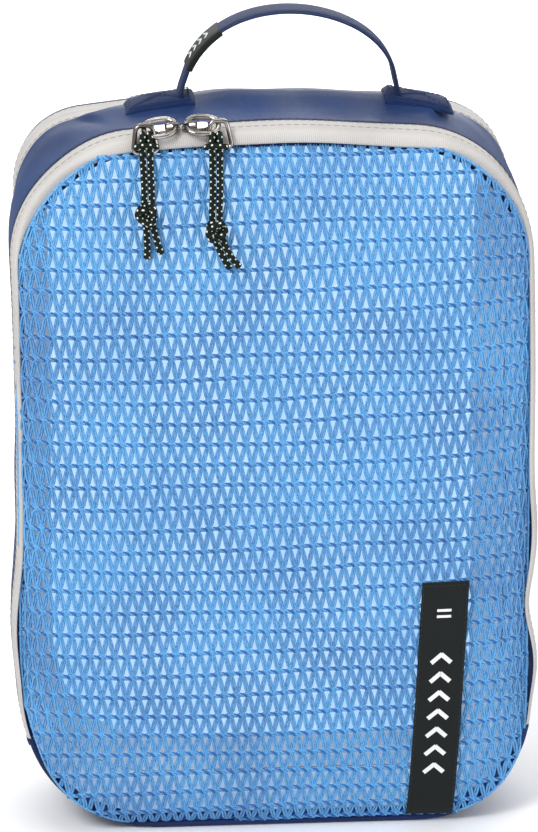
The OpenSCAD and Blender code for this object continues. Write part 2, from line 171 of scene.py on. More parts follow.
def tube(points, radius, sides=12, closed=False):
    """One tube as (verts, faces, uv): u runs along it in millimetres and v once round."""
    p = np.asarray(points, float)
    r = np.broadcast_to(np.asarray(radius, float), (len(p),)).copy()
    if closed:
        t = unit(np.roll(p, -1, 0) - np.roll(p, 1, 0))
        a = unit(np.cross(t, [0.13, 1.0, 0.07]))
        b = np.cross(t, a)
    else:
        # a low dome on each end
        reach, size = np.array([[0.55, 0.45, 0.2], [0.05, 0.62, 0.92]])
        head = p[0] + unit(p[0] - p[1]) * r[0] * reach[:, None]
        tail = p[-1] + unit(p[-1] - p[-2]) * r[-1] * reach[::-1, None]
        p, r = np.vstack([head, p, tail]), np.concatenate([r[0] * size, r, r[-1] * size[::-1]])
        t, a, b = frames(p)
    w = 2 * math.pi * np.arange(sides) / sides
    ring = a[:, None] * np.cos(w)[None, :, None] + b[:, None] * np.sin(w)[None, :, None]
    verts = p[:, None] + r[:, None, None] * ring
    u = along(np.vstack([p, p[:1]]) if closed else p)
    faces = grid_faces(len(p), sides, close_n=closed, close_m=True)
    return verts.reshape(-1, 3), faces, grid_uv(u, np.linspace(0, 1, sides + 1))


def joined(parts):
    """Several (verts, faces, uv) as one."""
    verts, faces, uvs, start = [], [], [], 0
    for v, f, uv in parts:
        verts.append(v)
        faces.append(np.asarray(f) + start)
        uvs.append(uv)
        start += len(v)
    return np.vstack(verts), np.vstack(faces), np.vstack(uvs)


def tubes_object(name, parts, material, body):
    v, f, uv = joined(parts)
    return mesh_object(name, v, f, material, body, uv, sharp=60)


def stands_for(o, node=None):
    """The CAD node that a piece replaces."""
    if node:
        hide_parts(node)
    return o


def threads(name, lines, radius, material, body, ref):
    verts, faces = filaments(lines, radius, 5, ref=ref)
    return mesh_object(name, verts, faces, material, body, np.zeros((faces.size, 2)), sharp=60)


def two_faced(front, back, flip=False):
    """A thin closed piece from two equal grids of points, (n, m, 3): (verts, faces)."""
    n, m = front.shape[:2]
    k = n * m
    one = grid_faces(n, m).tolist()
    faces = [q[::-1] for q in one] + [[a + k for a in q] for q in one]
    rim = [i * m for i in range(n)] + [(n - 1) * m + j for j in range(1, m)] + \
          [i * m + m - 1 for i in range(n - 2, -1, -1)] + list(range(m - 2, 0, -1))
    faces += [[a, b, b + k, a + k] for a, b in zip(rim, rim[1:] + rim[:1])]
    if flip:
        faces = [q[::-1] for q in faces]
    return np.vstack([front.reshape(-1, 3), back.reshape(-1, 3)]), faces


def flat_uv(verts, faces, a=0, b=2):
    """Corner pairs taken straight from two of the coordinates."""
    return [[verts[i][a], verts[i][b]] for q in faces for i in q]


# ---------------------------------------------------------------- the soft outline
def arc_points(cx, cz, r, a0, a1, n):
    a = np.radians(np.linspace(a0, a1, n, endpoint=False))
    normal = np.stack([np.cos(a), np.sin(a)], 1)
    return np.array([cx, cz]) + r * normal, normal


def line_points(x0, z0, x1, z1, normal, n):
    t = np.linspace(0, 1, n, endpoint=False)[:, None]
    return np.array([x0, z0]) * (1 - t) + np.array([x1, z1]) * t, np.tile(normal, (n, 1)).astype(float)


def outline(arch_x, counts, left=50.0, right=39.0):
    """The case seen from the front, anticlockwise from the middle of the bottom.
    The left bottom corner has sagged to a larger radius than the right one."""
    ang = math.asin(arch_x / ARCH_R)
    r = (HALF_W - arch_x) / (1 - math.sin(ang))
    cx = math.sin(ang) * (ARCH_R - r)
    cz = BODY_H - ARCH_R + math.cos(ang) * (ARCH_R - r)
    d = math.degrees(ang)
    a, b, c, e, f, g, h, i, j = counts
    pieces = [
        line_points(0, 0, HALF_W - right, 0, (0, -1), a),
        arc_points(HALF_W - right, right, right, -90, 0, b),
        line_points(HALF_W, right, HALF_W, cz, (1, 0), c),
        arc_points(cx, cz, r, 0, 90 - d, e),
        arc_points(0, BODY_H - ARCH_R, ARCH_R, 90 - d, 90 + d, f),
        arc_points(-cx, cz, r, 90 + d, 180, g),
        line_points(-HALF_W, cz, -HALF_W, left, (-1, 0), h),
        arc_points(left - HALF_W, left, left, 180, 270, i),
        line_points(left - HALF_W, 0, 0, 0, (0, -1), j),
    ]
    p = np.vstack([q for q, _ in pieces])
    n = unit(np.vstack([q for _, q in pieces]))
    return {"p": p, "n": n, "s": along(np.vstack([p, p[:1]])), "closed": True}


COUNTS = (26, 31, 82, 34, 49, 34, 76, 39, 20)


def front_and_rear():
    """The round front outline, carrying with each sample its partner on the squarer rear outline."""
    front, rear = outline(ARCH_X, COUNTS), outline(REAR_ARCH_X, COUNTS)
    front["q"], front["m"] = rear["p"] * [REAR_X, REAR_Z], rear["n"]
    return front


def stretch(path, keep):
    """The open run of a closed path where keep(x, z) is true; the path starts in the middle of the bottom."""
    k = np.array([keep(x, z) for x, z in path["p"]])
    i = np.nonzero(k)[0]
    return {**{k: path[k][i] for k in "pnqms"}, "closed": False}


def bottom_stretch(path, top):
    """The run along the bottom, from the left side over the corner to the right side, below a height."""
    k = path["p"][:, 1] < top
    n = len(k)
    right = next(i for i in range(n) if not k[i])
    left = next(i for i in range(n - 1, 0, -1) if not k[i]) + 1
    i = np.array(list(range(left, n)) + list(range(0, right)))
    s = path["s"][i].copy()
    s[: n - left] -= path["s"][-1]
    return {**{k: path[k][i] for k in "pnqm"}, "s": s, "closed": False}


def bump(v, at, width):
    return np.exp(-((v - at) / width) ** 2)


def soft_out(p, n, y):
    """How far the cloth stands out from the stiff outline, in millimetres, at a depth."""
    x, z = p[:, 0:1], p[:, 1:2]
    up, side, y = np.clip(n[:, 1:2], 0, 1), np.abs(n[:, 0:1]), np.asarray(y, float)
    t = np.clip((y - GUSSET_Y) / (EXP_Y - GUSSET_Y), 0, 1)
    belly = np.sin(math.pi * t ** 2.0) ** 0.9
    feet = bump(x, -37, 15) + bump(x, 52, 15)
    crown = belly * 6.5 * smooth_step(0.975, 0.993, up) * (1 - 0.3 * feet)
    crown = crown * smooth_step(-62, -34, x) * smooth_step(74, 50, x)
    left = -1.3 - 0.7 * bump(z, 145, 18) + 2.2 * bump(z, 76, 20) + 0.6 * bump(z, 205, 30)
    right = -0.4 + (2.0 * bump(z, 104, 17) - 1.0 * bump(z, 79, 9) + 2.2 * bump(z, 58, 14)
                    + 0.5 * bump(z, 165, 25) - 1.2 * bump(z, 215, 22))
    hush = smooth_step(46, 56, y)
    drawn = np.where(x < 0, left, right) * side ** 2 * (1 - 0.75 * hush) + 0.8 * side * np.sin(math.pi * t)
    wave = 0.35 * np.sin(x / 9.0 + z / 13.0 + y / 17.0) + 0.3 * np.sin(x / 4.3 - z / 6.1 + y / 5.0) * belly
    calm = 1 - bump(x, MEET_X, 26) * up * smooth_step(16, 8, y)
    rest = smooth_step(-0.2, -0.95, n[:, 1:2])
    return (crown + drawn + calm * wave * 0.8 * (1 - 0.7 * hush)) * (1 - rest) - rest * 0.15 * belly


def turn_share(y):
    """From the case tape back to the expansion zip the outline turns from the front one into the rear one."""
    k = np.clip((y - GUSSET_Y) / (EXP_Y - GUSSET_Y), 0, 1)
    return 0.35 * k + 0.65 * k ** 1.6


def place(path, d, y):
    """Points at inset d (mm) and depth y along a path; d and y may be arrays over (samples, section)."""
    count = len(path["p"])
    d = np.broadcast_to(np.asarray(d, float), (count, np.shape(d)[-1]))
    y = np.broadcast_to(np.asarray(y, float), d.shape)
    k = turn_share(y)[..., None]
    p, n, q, m = (path[c][:, None, :] for c in "pnqm")
    out = unit(n * (1 - k) + m * k) * (soft_out(path["p"], path["n"], y) - d)[..., None]
    xz = p * (1 - k) + q * k + out
    return np.stack([xz[..., 0], y, np.maximum(xz[..., 1], 0.05)], -1)


def ring_piece(name, path, section, material, body, node=None, sharp=35):
    """A closed cross-section of (inset, depth) corners carried along the outline.
    section may also be a function of the path that gives arrays."""
    d, y = section(path) if callable(section) else np.array(section, float).T
    v = place(path, d, y)
    n, m = v.shape[:2]
    faces = grid_faces(n, m, close_n=path["closed"], close_m=True).tolist()
    corners = np.stack([np.broadcast_to(c, (n, m))[0] for c in (d, y)], 1)
    uv = grid_uv(path["s"], along(np.vstack([corners, corners[:1]]))).tolist()
    if not path["closed"]:
        faces += [list(range(m - 1, -1, -1)), list(range((n - 1) * m, n * m))]
        uv += [[0.0, 0.0]] * (2 * m)
    return stands_for(mesh_object(name, v.reshape(-1, 3), faces, material, body, uv, sharp=sharp), node)


# ---------------------------------------------------------------- materials
def rgb(r, g, b):
    lin = lambda c: c / 12.92 if c <= 0.04045 else ((c + 0.055) / 1.055) ** 2.4
    return (lin(r / 255), lin(g / 255), lin(b / 255), 1.0)


class Shade:
    """A small writer of node materials; any input may be a plain value or another node's output."""

    def __init__(self, name):
        self.material = bpy.data.materials.new(name)
        self.material.use_nodes = True
        self.tree = self.material.node_tree
        self.bsdf = self.tree.nodes["Principled BSDF"]

    def put(self, socket, value):
        if isinstance(value, bpy.types.NodeSocket):
            self.tree.links.new(value, socket)
        else:
            socket.default_value = value

    def add(self, kind, inputs=(), out=0, **props):
        node = self.tree.nodes.new(kind)
        for k, v in props.items():
            setattr(node, k, v)
        for k, v in dict(inputs).items():
            self.put(node.inputs[k], v)
        return node.outputs[out]

    def calc(self, op, a, b=0.0, c=0.0):
        return self.add("ShaderNodeMath", {0: a, 1: b, 2: c}, operation=op)

    def total(self, *terms):
        """The sum of values, each times its weight."""
        out = 0.0
        for value, weight in terms:
            out = self.calc("MULTIPLY_ADD", value, weight, out)
        return out

    def uv(self):
        node = self.tree.nodes.new("ShaderNodeSeparateXYZ")
        self.put(node.inputs[0], self.add("ShaderNodeUVMap", uv_map="UVMap"))
        return node.outputs[0], node.outputs[1]

    def where(self, scale=(1, 1, 1)):
        node = self.tree.nodes.new("ShaderNodeMapping")
        node.inputs["Scale"].default_value = scale
        self.put(node.inputs["Vector"], self.add("ShaderNodeTexCoord", out=3))
        return node.outputs[0]

    def noise(self, scale, detail=3.0, stretch=(1, 1, 1), rough=0.5):
        return self.add("ShaderNodeTexNoise", {"Vector": self.where(stretch), "Scale": scale, "Detail": detail,
                                               "Roughness": rough})

    def span(self, value, a, b, lo=0.0, hi=1.0):
        return self.add("ShaderNodeMapRange", {"Value": value, "From Min": a, "From Max": b, "To Min": lo,
                                               "To Max": hi}, interpolation_type="SMOOTHSTEP")

    def blend(self, fac, a, b):
        node = self.tree.nodes.new("ShaderNodeMix")
        node.data_type = "RGBA"
        self.put(node.inputs[0], fac)
        self.put(node.inputs[6], a)
        self.put(node.inputs[7], b)
        return node.outputs[2]

    def wave(self, value, period, phase=0.0):
        """0 to 1 and back once in each period."""
        k = 2 * math.pi / period
        return self.calc("MULTIPLY_ADD", self.calc("SINE", self.calc("MULTIPLY_ADD", value, k, phase)), 0.5, 0.5)

    def finish(self, color, rough=0.8, height=None, strength=0.4, distance=0.0002, **inputs):
        b = self.bsdf.inputs
        self.put(b["Base Color"], color)
        self.put(b["Roughness"], rough)
        for k, v in inputs.items():
            self.put(b[k.replace("_", " ")], v)
        if height is not None:
            self.put(b["Normal"], self.add("ShaderNodeBump", {"Strength": strength, "Distance": distance,
                                                              "Height": height}))
        return self.material


def coated_fabric(name, base, dark, rough=0.5, sheen=0.3):
    """Ripstop with a light coating: fine plain weave, a faint square grid and soft creases."""
    s = Shade(name)
    u, v = s.uv()
    weave = s.calc("MULTIPLY", s.wave(u, 0.42), s.wave(v, 0.42))
    grid = s.calc("MAXIMUM", s.span(s.wave(u, 4.6), 0.985, 1.0), s.span(s.wave(v, 4.6), 0.985, 1.0))
    crease = s.noise(34, 4, (1, 0.6, 0.8), 0.55)
    cloud = s.noise(16, 2)
    height = s.total((weave, 0.16), (grid, 0.1), (crease, 3.0))
    color = s.blend(s.span(cloud, 0.3, 0.7), dark, base)
    color = s.blend(s.calc("MULTIPLY", weave, 0.14), color, rgb(54, 92, 146))
    return s.finish(color, s.span(crease, 0.3, 0.7, rough - 0.07, rough + 0.1), height, 0.45, 0.0005,
                    Sheen_Weight=sheen, Sheen_Roughness=0.4, Specular_IOR_Level=0.22)


def woven_tape(name, base, rib_shade_and_mottle, period=0.7):
    """Twill tape: fine slanting ribs, with fibre noise. The ribs' grooves are painted shade in the darker colour,
    which also mottles the tape at random.
    """
    s = Shade(name)
    u, v = s.uv()
    slant = s.wave(s.calc("MULTIPLY_ADD", v, 0.62, u), period)
    cross = s.wave(v, 0.5)
    fibre = s.noise(900, 2)
    cloud = s.noise(45, 3)
    height = s.total((slant, 0.7), (cross, 0.15), (fibre, 0.35))
    # painted shade in the grooves between the ribs
    color = s.blend(s.calc("MULTIPLY_ADD", slant, 0.35, 0.5), rib_shade_and_mottle, base)
    color = s.blend(s.span(cloud, 0.35, 0.7, 0.0, 0.22), color, rib_shade_and_mottle)
    return s.finish(color, 0.85, height, 0.4, 0.0002, Sheen_Weight=0.15, Sheen_Roughness=0.5, Specular_IOR_Level=0.2)


def coil_plastic():
    s = Shade("zip_coil")
    n = s.noise(700, 2)
    return s.finish(s.blend(n, rgb(150, 148, 146), rgb(206, 204, 201)), 0.42, n, 0.15, 0.0001)


def net_thread(name, low, high, light):
    """Bright filament yarn in random tone between low and high, with painted highlight bands along the twist in the
    light colour and painted shade in fine dark-blue specks.
    """
    s = Shade(name)
    u, v = s.uv()
    twist = s.wave(s.calc("MULTIPLY_ADD", v, 1.0, s.calc("MULTIPLY", u, 1.4)), 0.5)
    cloud = s.noise(26, 2)
    fibre = s.noise(1500, 2)
    color = s.blend(s.span(cloud, 0.3, 0.7), low, high)
    # painted highlight: the twist bands are blended towards the light colour
    color = s.blend(s.calc("MULTIPLY", twist, 0.55), color, light)
    # painted shade: fine dark-blue specks over the fibre noise
    color = s.blend(s.span(fibre, 0.5, 0.7, 0, 0.6), color, rgb(10, 62, 138))
    return s.finish(color, 0.45, s.calc("ADD", twist, fibre), 0.35, 0.0001, Sheen_Weight=0.08,
                    Sheen_Roughness=0.35, Specular_IOR_Level=0.4)


def pale_lining(name, base, light, through):
    """Pale thin cloth in soft patches; a share of the light comes through it."""
    s = Shade(name)
    patch = s.span(s.noise(28, 2), 0.35, 0.65)
    weave = s.noise(1400, 2)
    color = s.blend(patch, base, light)
    m = s.finish(color, 0.85, s.total((weave, 1.0), (s.noise(60, 3), 3.0)), 0.3, 0.0004)
    if through:
        glow = s.add("ShaderNodeBsdfTranslucent", {"Color": color})
        mix = s.tree.nodes.new("ShaderNodeMixShader")
        s.put(mix.inputs[0], through)
        s.put(mix.inputs[1], s.bsdf.outputs[0])
        s.put(mix.inputs[2], glow)
        s.put(s.tree.nodes["Material Output"].inputs["Surface"], mix.outputs[0])
    return m


def ribbed_webbing():
    s = Shade("ribbed_webbing")
    u, v = s.uv()
    rib = s.wave(v, 1.15)
    pick = s.wave(s.calc("MULTIPLY_ADD", v, 0.4, u), 0.62)
    fibre = s.noise(1100, 2)
    height = s.total((rib, 0.5), (pick, 0.6), (fibre, 0.3))
    color = s.blend(pick, rgb(6, 20, 54), rgb(24, 60, 116))
    color = s.blend(s.calc("MULTIPLY", rib, 0.35), color, rgb(8, 20, 54))
    return s.finish(color, 0.7, height, 0.9, 0.0005, Specular_IOR_Level=0.2, Sheen_Weight=0.04, Sheen_Roughness=0.4)


def satin(name, base, light):
    """Woven label cloth: a tight satin with a faint sheen."""
    s = Shade(name)
    u, v = s.uv()
    line = s.calc("MULTIPLY", s.wave(u, 0.4), s.wave(v, 0.4))
    n = s.noise(300, 3)
    return s.finish(s.blend(s.total((line, 0.4), (n, 0.3)), base, light), 0.65, s.calc("ADD", line, n), 0.3, 0.00012,
                    Specular_IOR_Level=0.2, Sheen_Weight=0.03, Sheen_Roughness=0.4)


def plated_metal():
    s = Shade("dark_nickel")
    scratch = s.noise(420, 5, (1, 4, 0.6), 0.6)
    stain = s.noise(120, 2)
    color = s.blend(s.span(stain, 0.3, 0.7), rgb(118, 112, 106), rgb(190, 184, 178))
    return s.finish(color, s.span(scratch, 0.3, 0.75, 0.08, 0.22), scratch, 0.06, 0.00005, Metallic=1.0)


def braided_cord():
    """Black-green braid with pale flecks in staggered rows round the cord."""
    s = Shade("braided_cord")
    u, v = s.uv()
    around, along = 4.0, 2.2
    col = s.calc("FLOOR", s.calc("MULTIPLY", v, around))
    odd = s.calc("MODULO", col, 2.0)
    row = s.calc("FRACT", s.calc("ADD", s.calc("DIVIDE", u, along), s.calc("MULTIPLY", odd, 0.5)))
    across = s.calc("SUBTRACT", s.calc("FRACT", s.calc("MULTIPLY", v, around)), 0.5)
    down = s.calc("SUBTRACT", row, 0.5)
    far = s.calc("ADD", s.calc("POWER", s.calc("MULTIPLY", across, 4.2), 2.0),
                 s.calc("POWER", s.calc("MULTIPLY", down, 6.2), 2.0))
    fleck = s.span(far, 0.55, 0.95, 1.0, 0.0)
    one = s.wave(s.calc("MULTIPLY_ADD", v, 3.0, u), 0.75)
    two = s.wave(s.calc("MULTIPLY_ADD", v, -3.0, u), 0.75)
    braid = s.calc("MAXIMUM", one, two)
    color = s.blend(braid, rgb(5, 8, 6), rgb(24, 34, 27))
    color = s.blend(fleck, color, rgb(232, 236, 226))
    return s.finish(color, 0.6, s.total((braid, 1.0), (fleck, 0.5)), 0.7, 0.0003,
                    Specular_IOR_Level=0.12)


def thread(name, base):
    s = Shade(name)
    n = s.noise(2000, 2)
    return s.finish(s.blend(n, tuple(c * 0.7 for c in base[:3]) + (1,), base), 0.7, n, 0.2, 0.0001)


M_GUSSET = coated_fabric("gusset_fabric", rgb(22, 56, 108), rgb(14, 40, 84), 0.62, sheen=0.03)
M_BINDING = coated_fabric("seam_fabric", rgb(20, 40, 88), rgb(12, 26, 64), 0.65, 0.03)
M_TAPE = woven_tape("woven_tape", rgb(207, 204, 201), rgb(146, 141, 137))
M_SEAM = coated_fabric("seam_edge", rgb(10, 22, 52), rgb(6, 12, 34), 0.6, 0.02)
M_PALE_TAPE = woven_tape("lining_tape", rgb(236, 238, 242), rgb(206, 210, 218), 0.7)
M_COIL = coil_plastic()
M_NET = net_thread("net_thread", rgb(26, 106, 178), rgb(56, 144, 208), rgb(158, 216, 246))
# the darker net yarn is painted shade: dark-blue filaments standing in for the shadows round the chains' knots
M_NET_PAINTED_SHADE = net_thread("net_painted_shade_yarn", rgb(10, 56, 120), rgb(22, 86, 160), rgb(70, 140, 205))
M_LINING = pale_lining("pale_lining", rgb(232, 244, 254), rgb(246, 251, 255), 0)
M_BACK = pale_lining("back_fabric", rgb(178, 218, 255), rgb(200, 229, 255), 0.62)
M_WEB = ribbed_webbing()
M_LABEL = satin("label_satin", rgb(13, 16, 17), rgb(27, 32, 31))
M_MARK = satin("label_mark", rgb(214, 216, 214), rgb(244, 245, 243))
M_METAL = plated_metal()
M_CORD = braided_cord()
M_THREAD_GREY = thread("grey_thread", rgb(150, 147, 143))
M_THREAD_BLUE = thread("blue_thread", rgb(26, 44, 92))
M_THREAD_DARK = thread("dark_thread", rgb(20, 22, 24))


# ---------------------------------------------------------------- places on the arch and the net
OUT = front_and_rear()


def rough_top(x, y):
    """How far the cloth's top stands above the stiff arch at a sideways place and depth."""
    n = np.array([[x / ARCH_R, math.sqrt(1 - (x / ARCH_R) ** 2)]])
    p = np.array([[0, BODY_H - ARCH_R]]) + n * ARCH_R
    return float(soft_out(p, n, np.array([[y]]))[0, 0] - BODY_H * (1 - REAR_Z) * turn_share(y))


def at_top(x, points):
    """(along, y, out) on the arch at sideways place x, in the case's frame."""
    a = math.asin(x / ARCH_R)
    q = np.atleast_2d(np.asarray(points, float))
    u, w = q[:, 0], q[:, 2] + ARCH_R
    up = BODY_H - ARCH_R - u * math.sin(a) + w * math.cos(a)
    return np.stack([u * math.cos(a) + w * math.sin(a), q[:, 1], up], 1)


def on_zip(side, points):
    q = np.atleast_2d(np.asarray(points, float)).copy()
    q[:, 0] *= -side
    return at_top(MEET_X, q)


NET_CZ = 127.3
NET_A, NET_B, NET_B_LOW = 86.6, 117.2, 124.6


def net_y(x, z):
    x, z = np.asarray(x, float), np.asarray(z, float)
    sx = np.sqrt(1 - np.minimum(1, np.abs(x) / NET_A) ** 3)
    sz = np.sqrt(1 - np.minimum(1, np.abs(z - NET_CZ) / np.where(z > NET_CZ, NET_B, NET_B_LOW)) ** 3)
    return 1 - 14.7 * sx * sz


def net_soft(x, z):
    """The net as it hangs: the smooth swell with inward folds and dimples where the filling gives."""
    s = (1 - net_y(x, z)) / NET_DOME
    fold = 0.9 * bump(x, (z - 120) * 0.03 - 40, 3.2) * smooth_step(225, 205, z) * smooth_step(15, 50, z)
    fold += 1.1 * bump(x, 27 - (z - 120) * 0.02, 3.6) * smooth_step(240, 215, z) * smooth_step(20, 60, z)
    dimple = 0.45 * (1 + np.sin(x / 11.0 + z / 19.0) * np.cos(z / 15.0 - x / 23.0))
    calm = 1 - 0.8 * bump(x, 56, 12.0) * smooth_step(104, 92, z)
    # drawn back along the top, where the pulls hang and travel
    pressed = 1.35 * smooth_step(225, 237, z) * smooth_step(-74, -60, x) * smooth_step(74, 60, x)
    return net_y(x, z) + (fold + dimple) * s * calm + pressed


def inset(x, z):
    """Distance inside the outline; negative outside."""
    x, z = np.atleast_1d(x).astype(float), np.atleast_1d(z).astype(float)
    q = np.stack([x, z], -1)
    out = np.full(q.shape[:-1], 1e9)
    for p, n in zip(OUT["p"], OUT["n"]):
        out = np.minimum(out, -((q - p) @ n))
    return out


def net_limit(x, z):
    """Where the net starts, inside the outline: under the tape, or at the seam below it."""
    low = np.where(np.asarray(x) < 0, 2.9, 0.3) * bump(z, 36, 17)
    return 1.3 + 0.5 * smooth_step(30, 100, z) + 2.1 * smooth_step(165, 225, z) + low


# ---------------------------------------------------------------- cloth of the case
ABOVE = stretch(OUT, lambda x, z: z > ZIP_END_Z)
BOTTOM = bottom_stretch(OUT, ZIP_END_Z - 0.4)


def gusset_section(path):
    """The cloth's outer face, its turned rear edge, and the inner face back to the front."""
    z = path["p"][:, 1:2]
    front = np.where(path["n"][:, 1:2] > 0.3, GUSSET_Y, 3.0 + 9.0 * smooth_step(33.0, 35.0, z))
    outer = front + 0.5 + (49.5 - front) * np.array([0, 0.06, 0.2, 0.34, 0.48, 0.62, 0.76, 0.88, 0.95]) / 0.95
    turned = np.tile([51.2, 52.0, 52.3, 52.2, 51.2], (len(z), 1))
    d = np.array([0.35] + [0.0] * 10 + [0.15, 0.4] + [0.75] * 11)
    return d, np.concatenate([front, outer, turned, outer[:, ::-1]], 1)


gusset = ring_piece("gusset_cloth", OUT, gusset_section, M_GUSSET, "case", "main_gusset")
lining_y = np.linspace(12.4, 53.2, 12)
lining_section = [(1.0, y) for y in lining_y] + [(1.3, y) for y in lining_y[::-1]]
lining = ring_piece("gusset_lining", OUT, lining_section, M_LINING, "case")


def stitches(name, path, d, y, length, gap, radius, material, body):
    """A row of lock stitches along the outline."""
    pts = place(path, [d], [y])[:, 0]
    s = along(pts)
    t = np.linspace(0, 1, 5)
    at = np.arange(0.5, s[-1] - length, length + gap)[:, None] + t * length
    line = np.stack([np.interp(at, s, pts[:, k]) for k in range(3)], -1)
    out = np.stack([np.interp(at, s, path["n"][:, 0]), 0 * at, np.interp(at, s, path["n"][:, 1])], -1)
    line = line + out * (np.sin(math.pi * t) * radius * 1.1 - radius * 0.35)[None, :, None]
    return threads(name, line, radius, material, body, (0.1, 1, 0.2))


stitches("gusset_seam_stitches", ABOVE, 0.0, 12.9, 2.1, 0.7, 0.17, M_THREAD_BLUE, "case")

w = np.linspace(0, 2 * math.pi, 9)[:-1]
seam = [(0.2 - 0.42 * math.cos(a), 12.35 + 0.42 * math.sin(a)) for a in w]
ring_piece("gusset_front_seam", ABOVE, seam, M_SEAM, "case", sharp=70)

# ---------------------------------------------------------------- tapes and coils of the front zip
case_tape = [(0.32, 5.78), (0.02, 6.0), (-0.02, 7.4), (0.0, 9.0), (0.0, 10.6), (0.02, 11.9), (0.25, 12.15),
             (0.8, 12.15), (0.95, 10.6), (0.95, 9), (0.95, 7.4), (0.95, 6.0), (0.7, 5.78)]
ring_piece("case_tape_cloth", ABOVE, case_tape, M_TAPE, "case", "case_zip_tape", sharp=50)
LID_TAPE = [(0.32, 5.42), (0.02, 5.2), (-0.02, 4.2), (0.0, 3.1), (0.12, 2.0), (0.45, 1.1), (1.0, 0.45), (1.9, 0.1),
            (3.0, 0.0), (4.2, 0.05), (4.9, 0.2), (5.2, 0.55), (4.9, 0.95), (4.2, 1.0), (3.0, 1.0), (2.3, 1.15),
            (1.6, 1.6), (1.15, 2.4), (0.98, 3.2), (0.95, 4.2), (0.95, 5.2), (0.7, 5.42)]


def flange_share(path):
    """The tape faces forward along the top and turns outward down the sides, where the net swells over it."""
    up, z = path["n"][:, 1], path["p"][:, 1]
    return (0.3 + 0.7 * smooth_step(0.0, 0.75, up)) * (1 - 0.75 * (1 - smooth_step(34, 105, z)))


def lid_tape(path):
    g = flange_share(path)[:, None]
    d, y = np.array(LID_TAPE).T
    return np.where(d > 1, 1 + (d - 1) * g, d + 0 * g), y


ring_piece("lid_tape_cloth", ABOVE, lid_tape, M_TAPE, "lid", "lid_zip_tape", sharp=50)
stitches("lid_tape_stitches", ABOVE, 0.0, 4.4, 1.9, 0.8, 0.13, M_THREAD_GREY, "lid")
stitches("case_tape_stitches", ABOVE, 0.0, 11.2, 1.9, 0.8, 0.13, M_THREAD_GREY, "case")


def inner_binding(path):
    """The net's raw edge is bound in dark cloth behind the tape."""
    share = 0.35 + 0.65 * flange_share(path)[:, None]
    return np.array([2.6, 4.4, 6.4, 6.8, 6.4, 4.4, 2.6]) * share, np.array([2.15, 2.1, 2.2, 2.45, 2.7, 2.6, 2.65])


ring_piece("lid_inner_binding", ABOVE, inner_binding, M_BINDING, "lid")


def coil(name, path, d, y, side, body, node, pitch=1.35, per_turn=7):
    """A spiral of filament sewn along the inner face of a tape, with its loops reaching over the slot."""
    pts, n = place(path, [d], [y])[:, 0], path["n"]
    if path["closed"]:
        pts, n = np.vstack([pts, pts[:1]]), np.vstack([n, n[:1]])
    s = along(pts)
    at = np.linspace(0, s[-1], int(s[-1] / pitch) * per_turn + 1)
    line = np.stack([np.interp(at, s, pts[:, i]) for i in range(3)], -1)
    out = unit(np.stack([np.interp(at, s, n[:, 0]), 0 * at, np.interp(at, s, n[:, 1])], -1))
    w = 2 * math.pi * np.arange(len(at)) / per_turn
    line = line + out * (0.62 * np.sin(w))[:, None] + np.array([0, 1.0, 0]) * (side * 0.95 * np.cos(w))[:, None]
    return stands_for(threads(name, line[None], 0.24, M_COIL, body, (0.12, 1, 0.3)), node)


coil("case_coil_teeth", ABOVE, 1.95, 6.9, 1, "case", "case_zip_coil")
coil("lid_coil_teeth", ABOVE, 1.95, 4.35, -1, "lid", "lid_zip_coil")

# stops: cloth tabs folded over the two ends of the zip
for side, name in ((-1, "zip_stop_left"), (1, "zip_stop_right")):
    path = stretch(OUT, lambda x, z: 28.8 < z < 33.9 and x * side > 0)
    tab = [(-0.1, 4.9), (-0.62, 5.3), (-0.72, 8.6), (-0.62, 11.9), (-0.1, 12.3), (0.2, 11.9), (0.2, 5.3)]
    ring_piece(name, path, tab, M_BINDING, "case", "zip_stops", sharp=50)

# bound seam along the bottom of the front, up both sides to the ends of the zip
w = np.linspace(0, 2 * math.pi, 11)[:-1]
piping = [(1.55 - 1.4 * math.cos(a), 1.5 + 1.3 * math.sin(a)) for a in w]
ring_piece("bottom_piping", BOTTOM, piping, M_BINDING, "case", "bottom_binding", sharp=70)
stitches("piping_stitches", BOTTOM, 1.5, 0.55, 2.2, 0.8, 0.16, M_THREAD_BLUE, "case")

# ---------------------------------------------------------------- expansion zip and rear section
k_front = [(0.35, 52.0), (0.05, 52.3), (0.0, 54), (0.0, 56), (0.0, 58), (0.02, 60.3), (0.3, 60.52), (0.8, 60.52),
           (1.0, 60.3), (1.0, 58), (1.0, 56), (1.0, 54), (1.0, 52.3), (0.8, 52.0)]
k_rear = [(d, 2 * EXP_ZIP_Y - y) for d, y in k_front][::-1]
ring_piece("expansion_front_tape_cloth", OUT, k_front, M_TAPE, "case", "expansion_front_tape", sharp=50)
ring_piece("expansion_rear_tape_cloth", OUT, k_rear, M_TAPE, "rear", "expansion_rear_tape", sharp=50)
coil("expansion_front_teeth", OUT, 2.0, 59.4, 1, "case", "expansion_front_coil")
coil("expansion_rear_teeth", OUT, 2.0, 62.0, -1, "rear", "expansion_rear_coil")
stitches("expansion_front_stitches", OUT, 0.0, 53.0, 1.9, 0.8, 0.13, M_THREAD_GREY, "case")
stitches("expansion_rear_stitches", OUT, 0.0, 68.4, 1.9, 0.8, 0.13, M_THREAD_GREY, "rear")


def fold_section(inner, low=52.4, high=71.0, deep=7.0, thick=0.35):
    """A strip folded twice behind the zip, sewn to both tapes at its edges."""
    y = np.linspace(low, high, 41)
    fold = 2.8 + deep * (0.5 - 0.5 * np.cos(4 * math.pi * np.clip((y - 56.5) / 8.4, 0, 1)))
    d = inner - 2.8 + fold * smooth_step(low, 56.4, y) * smooth_step(high, 65.0, y)
    return list(zip(d, y)) + list(zip(d[::-1] + thick, y[::-1]))


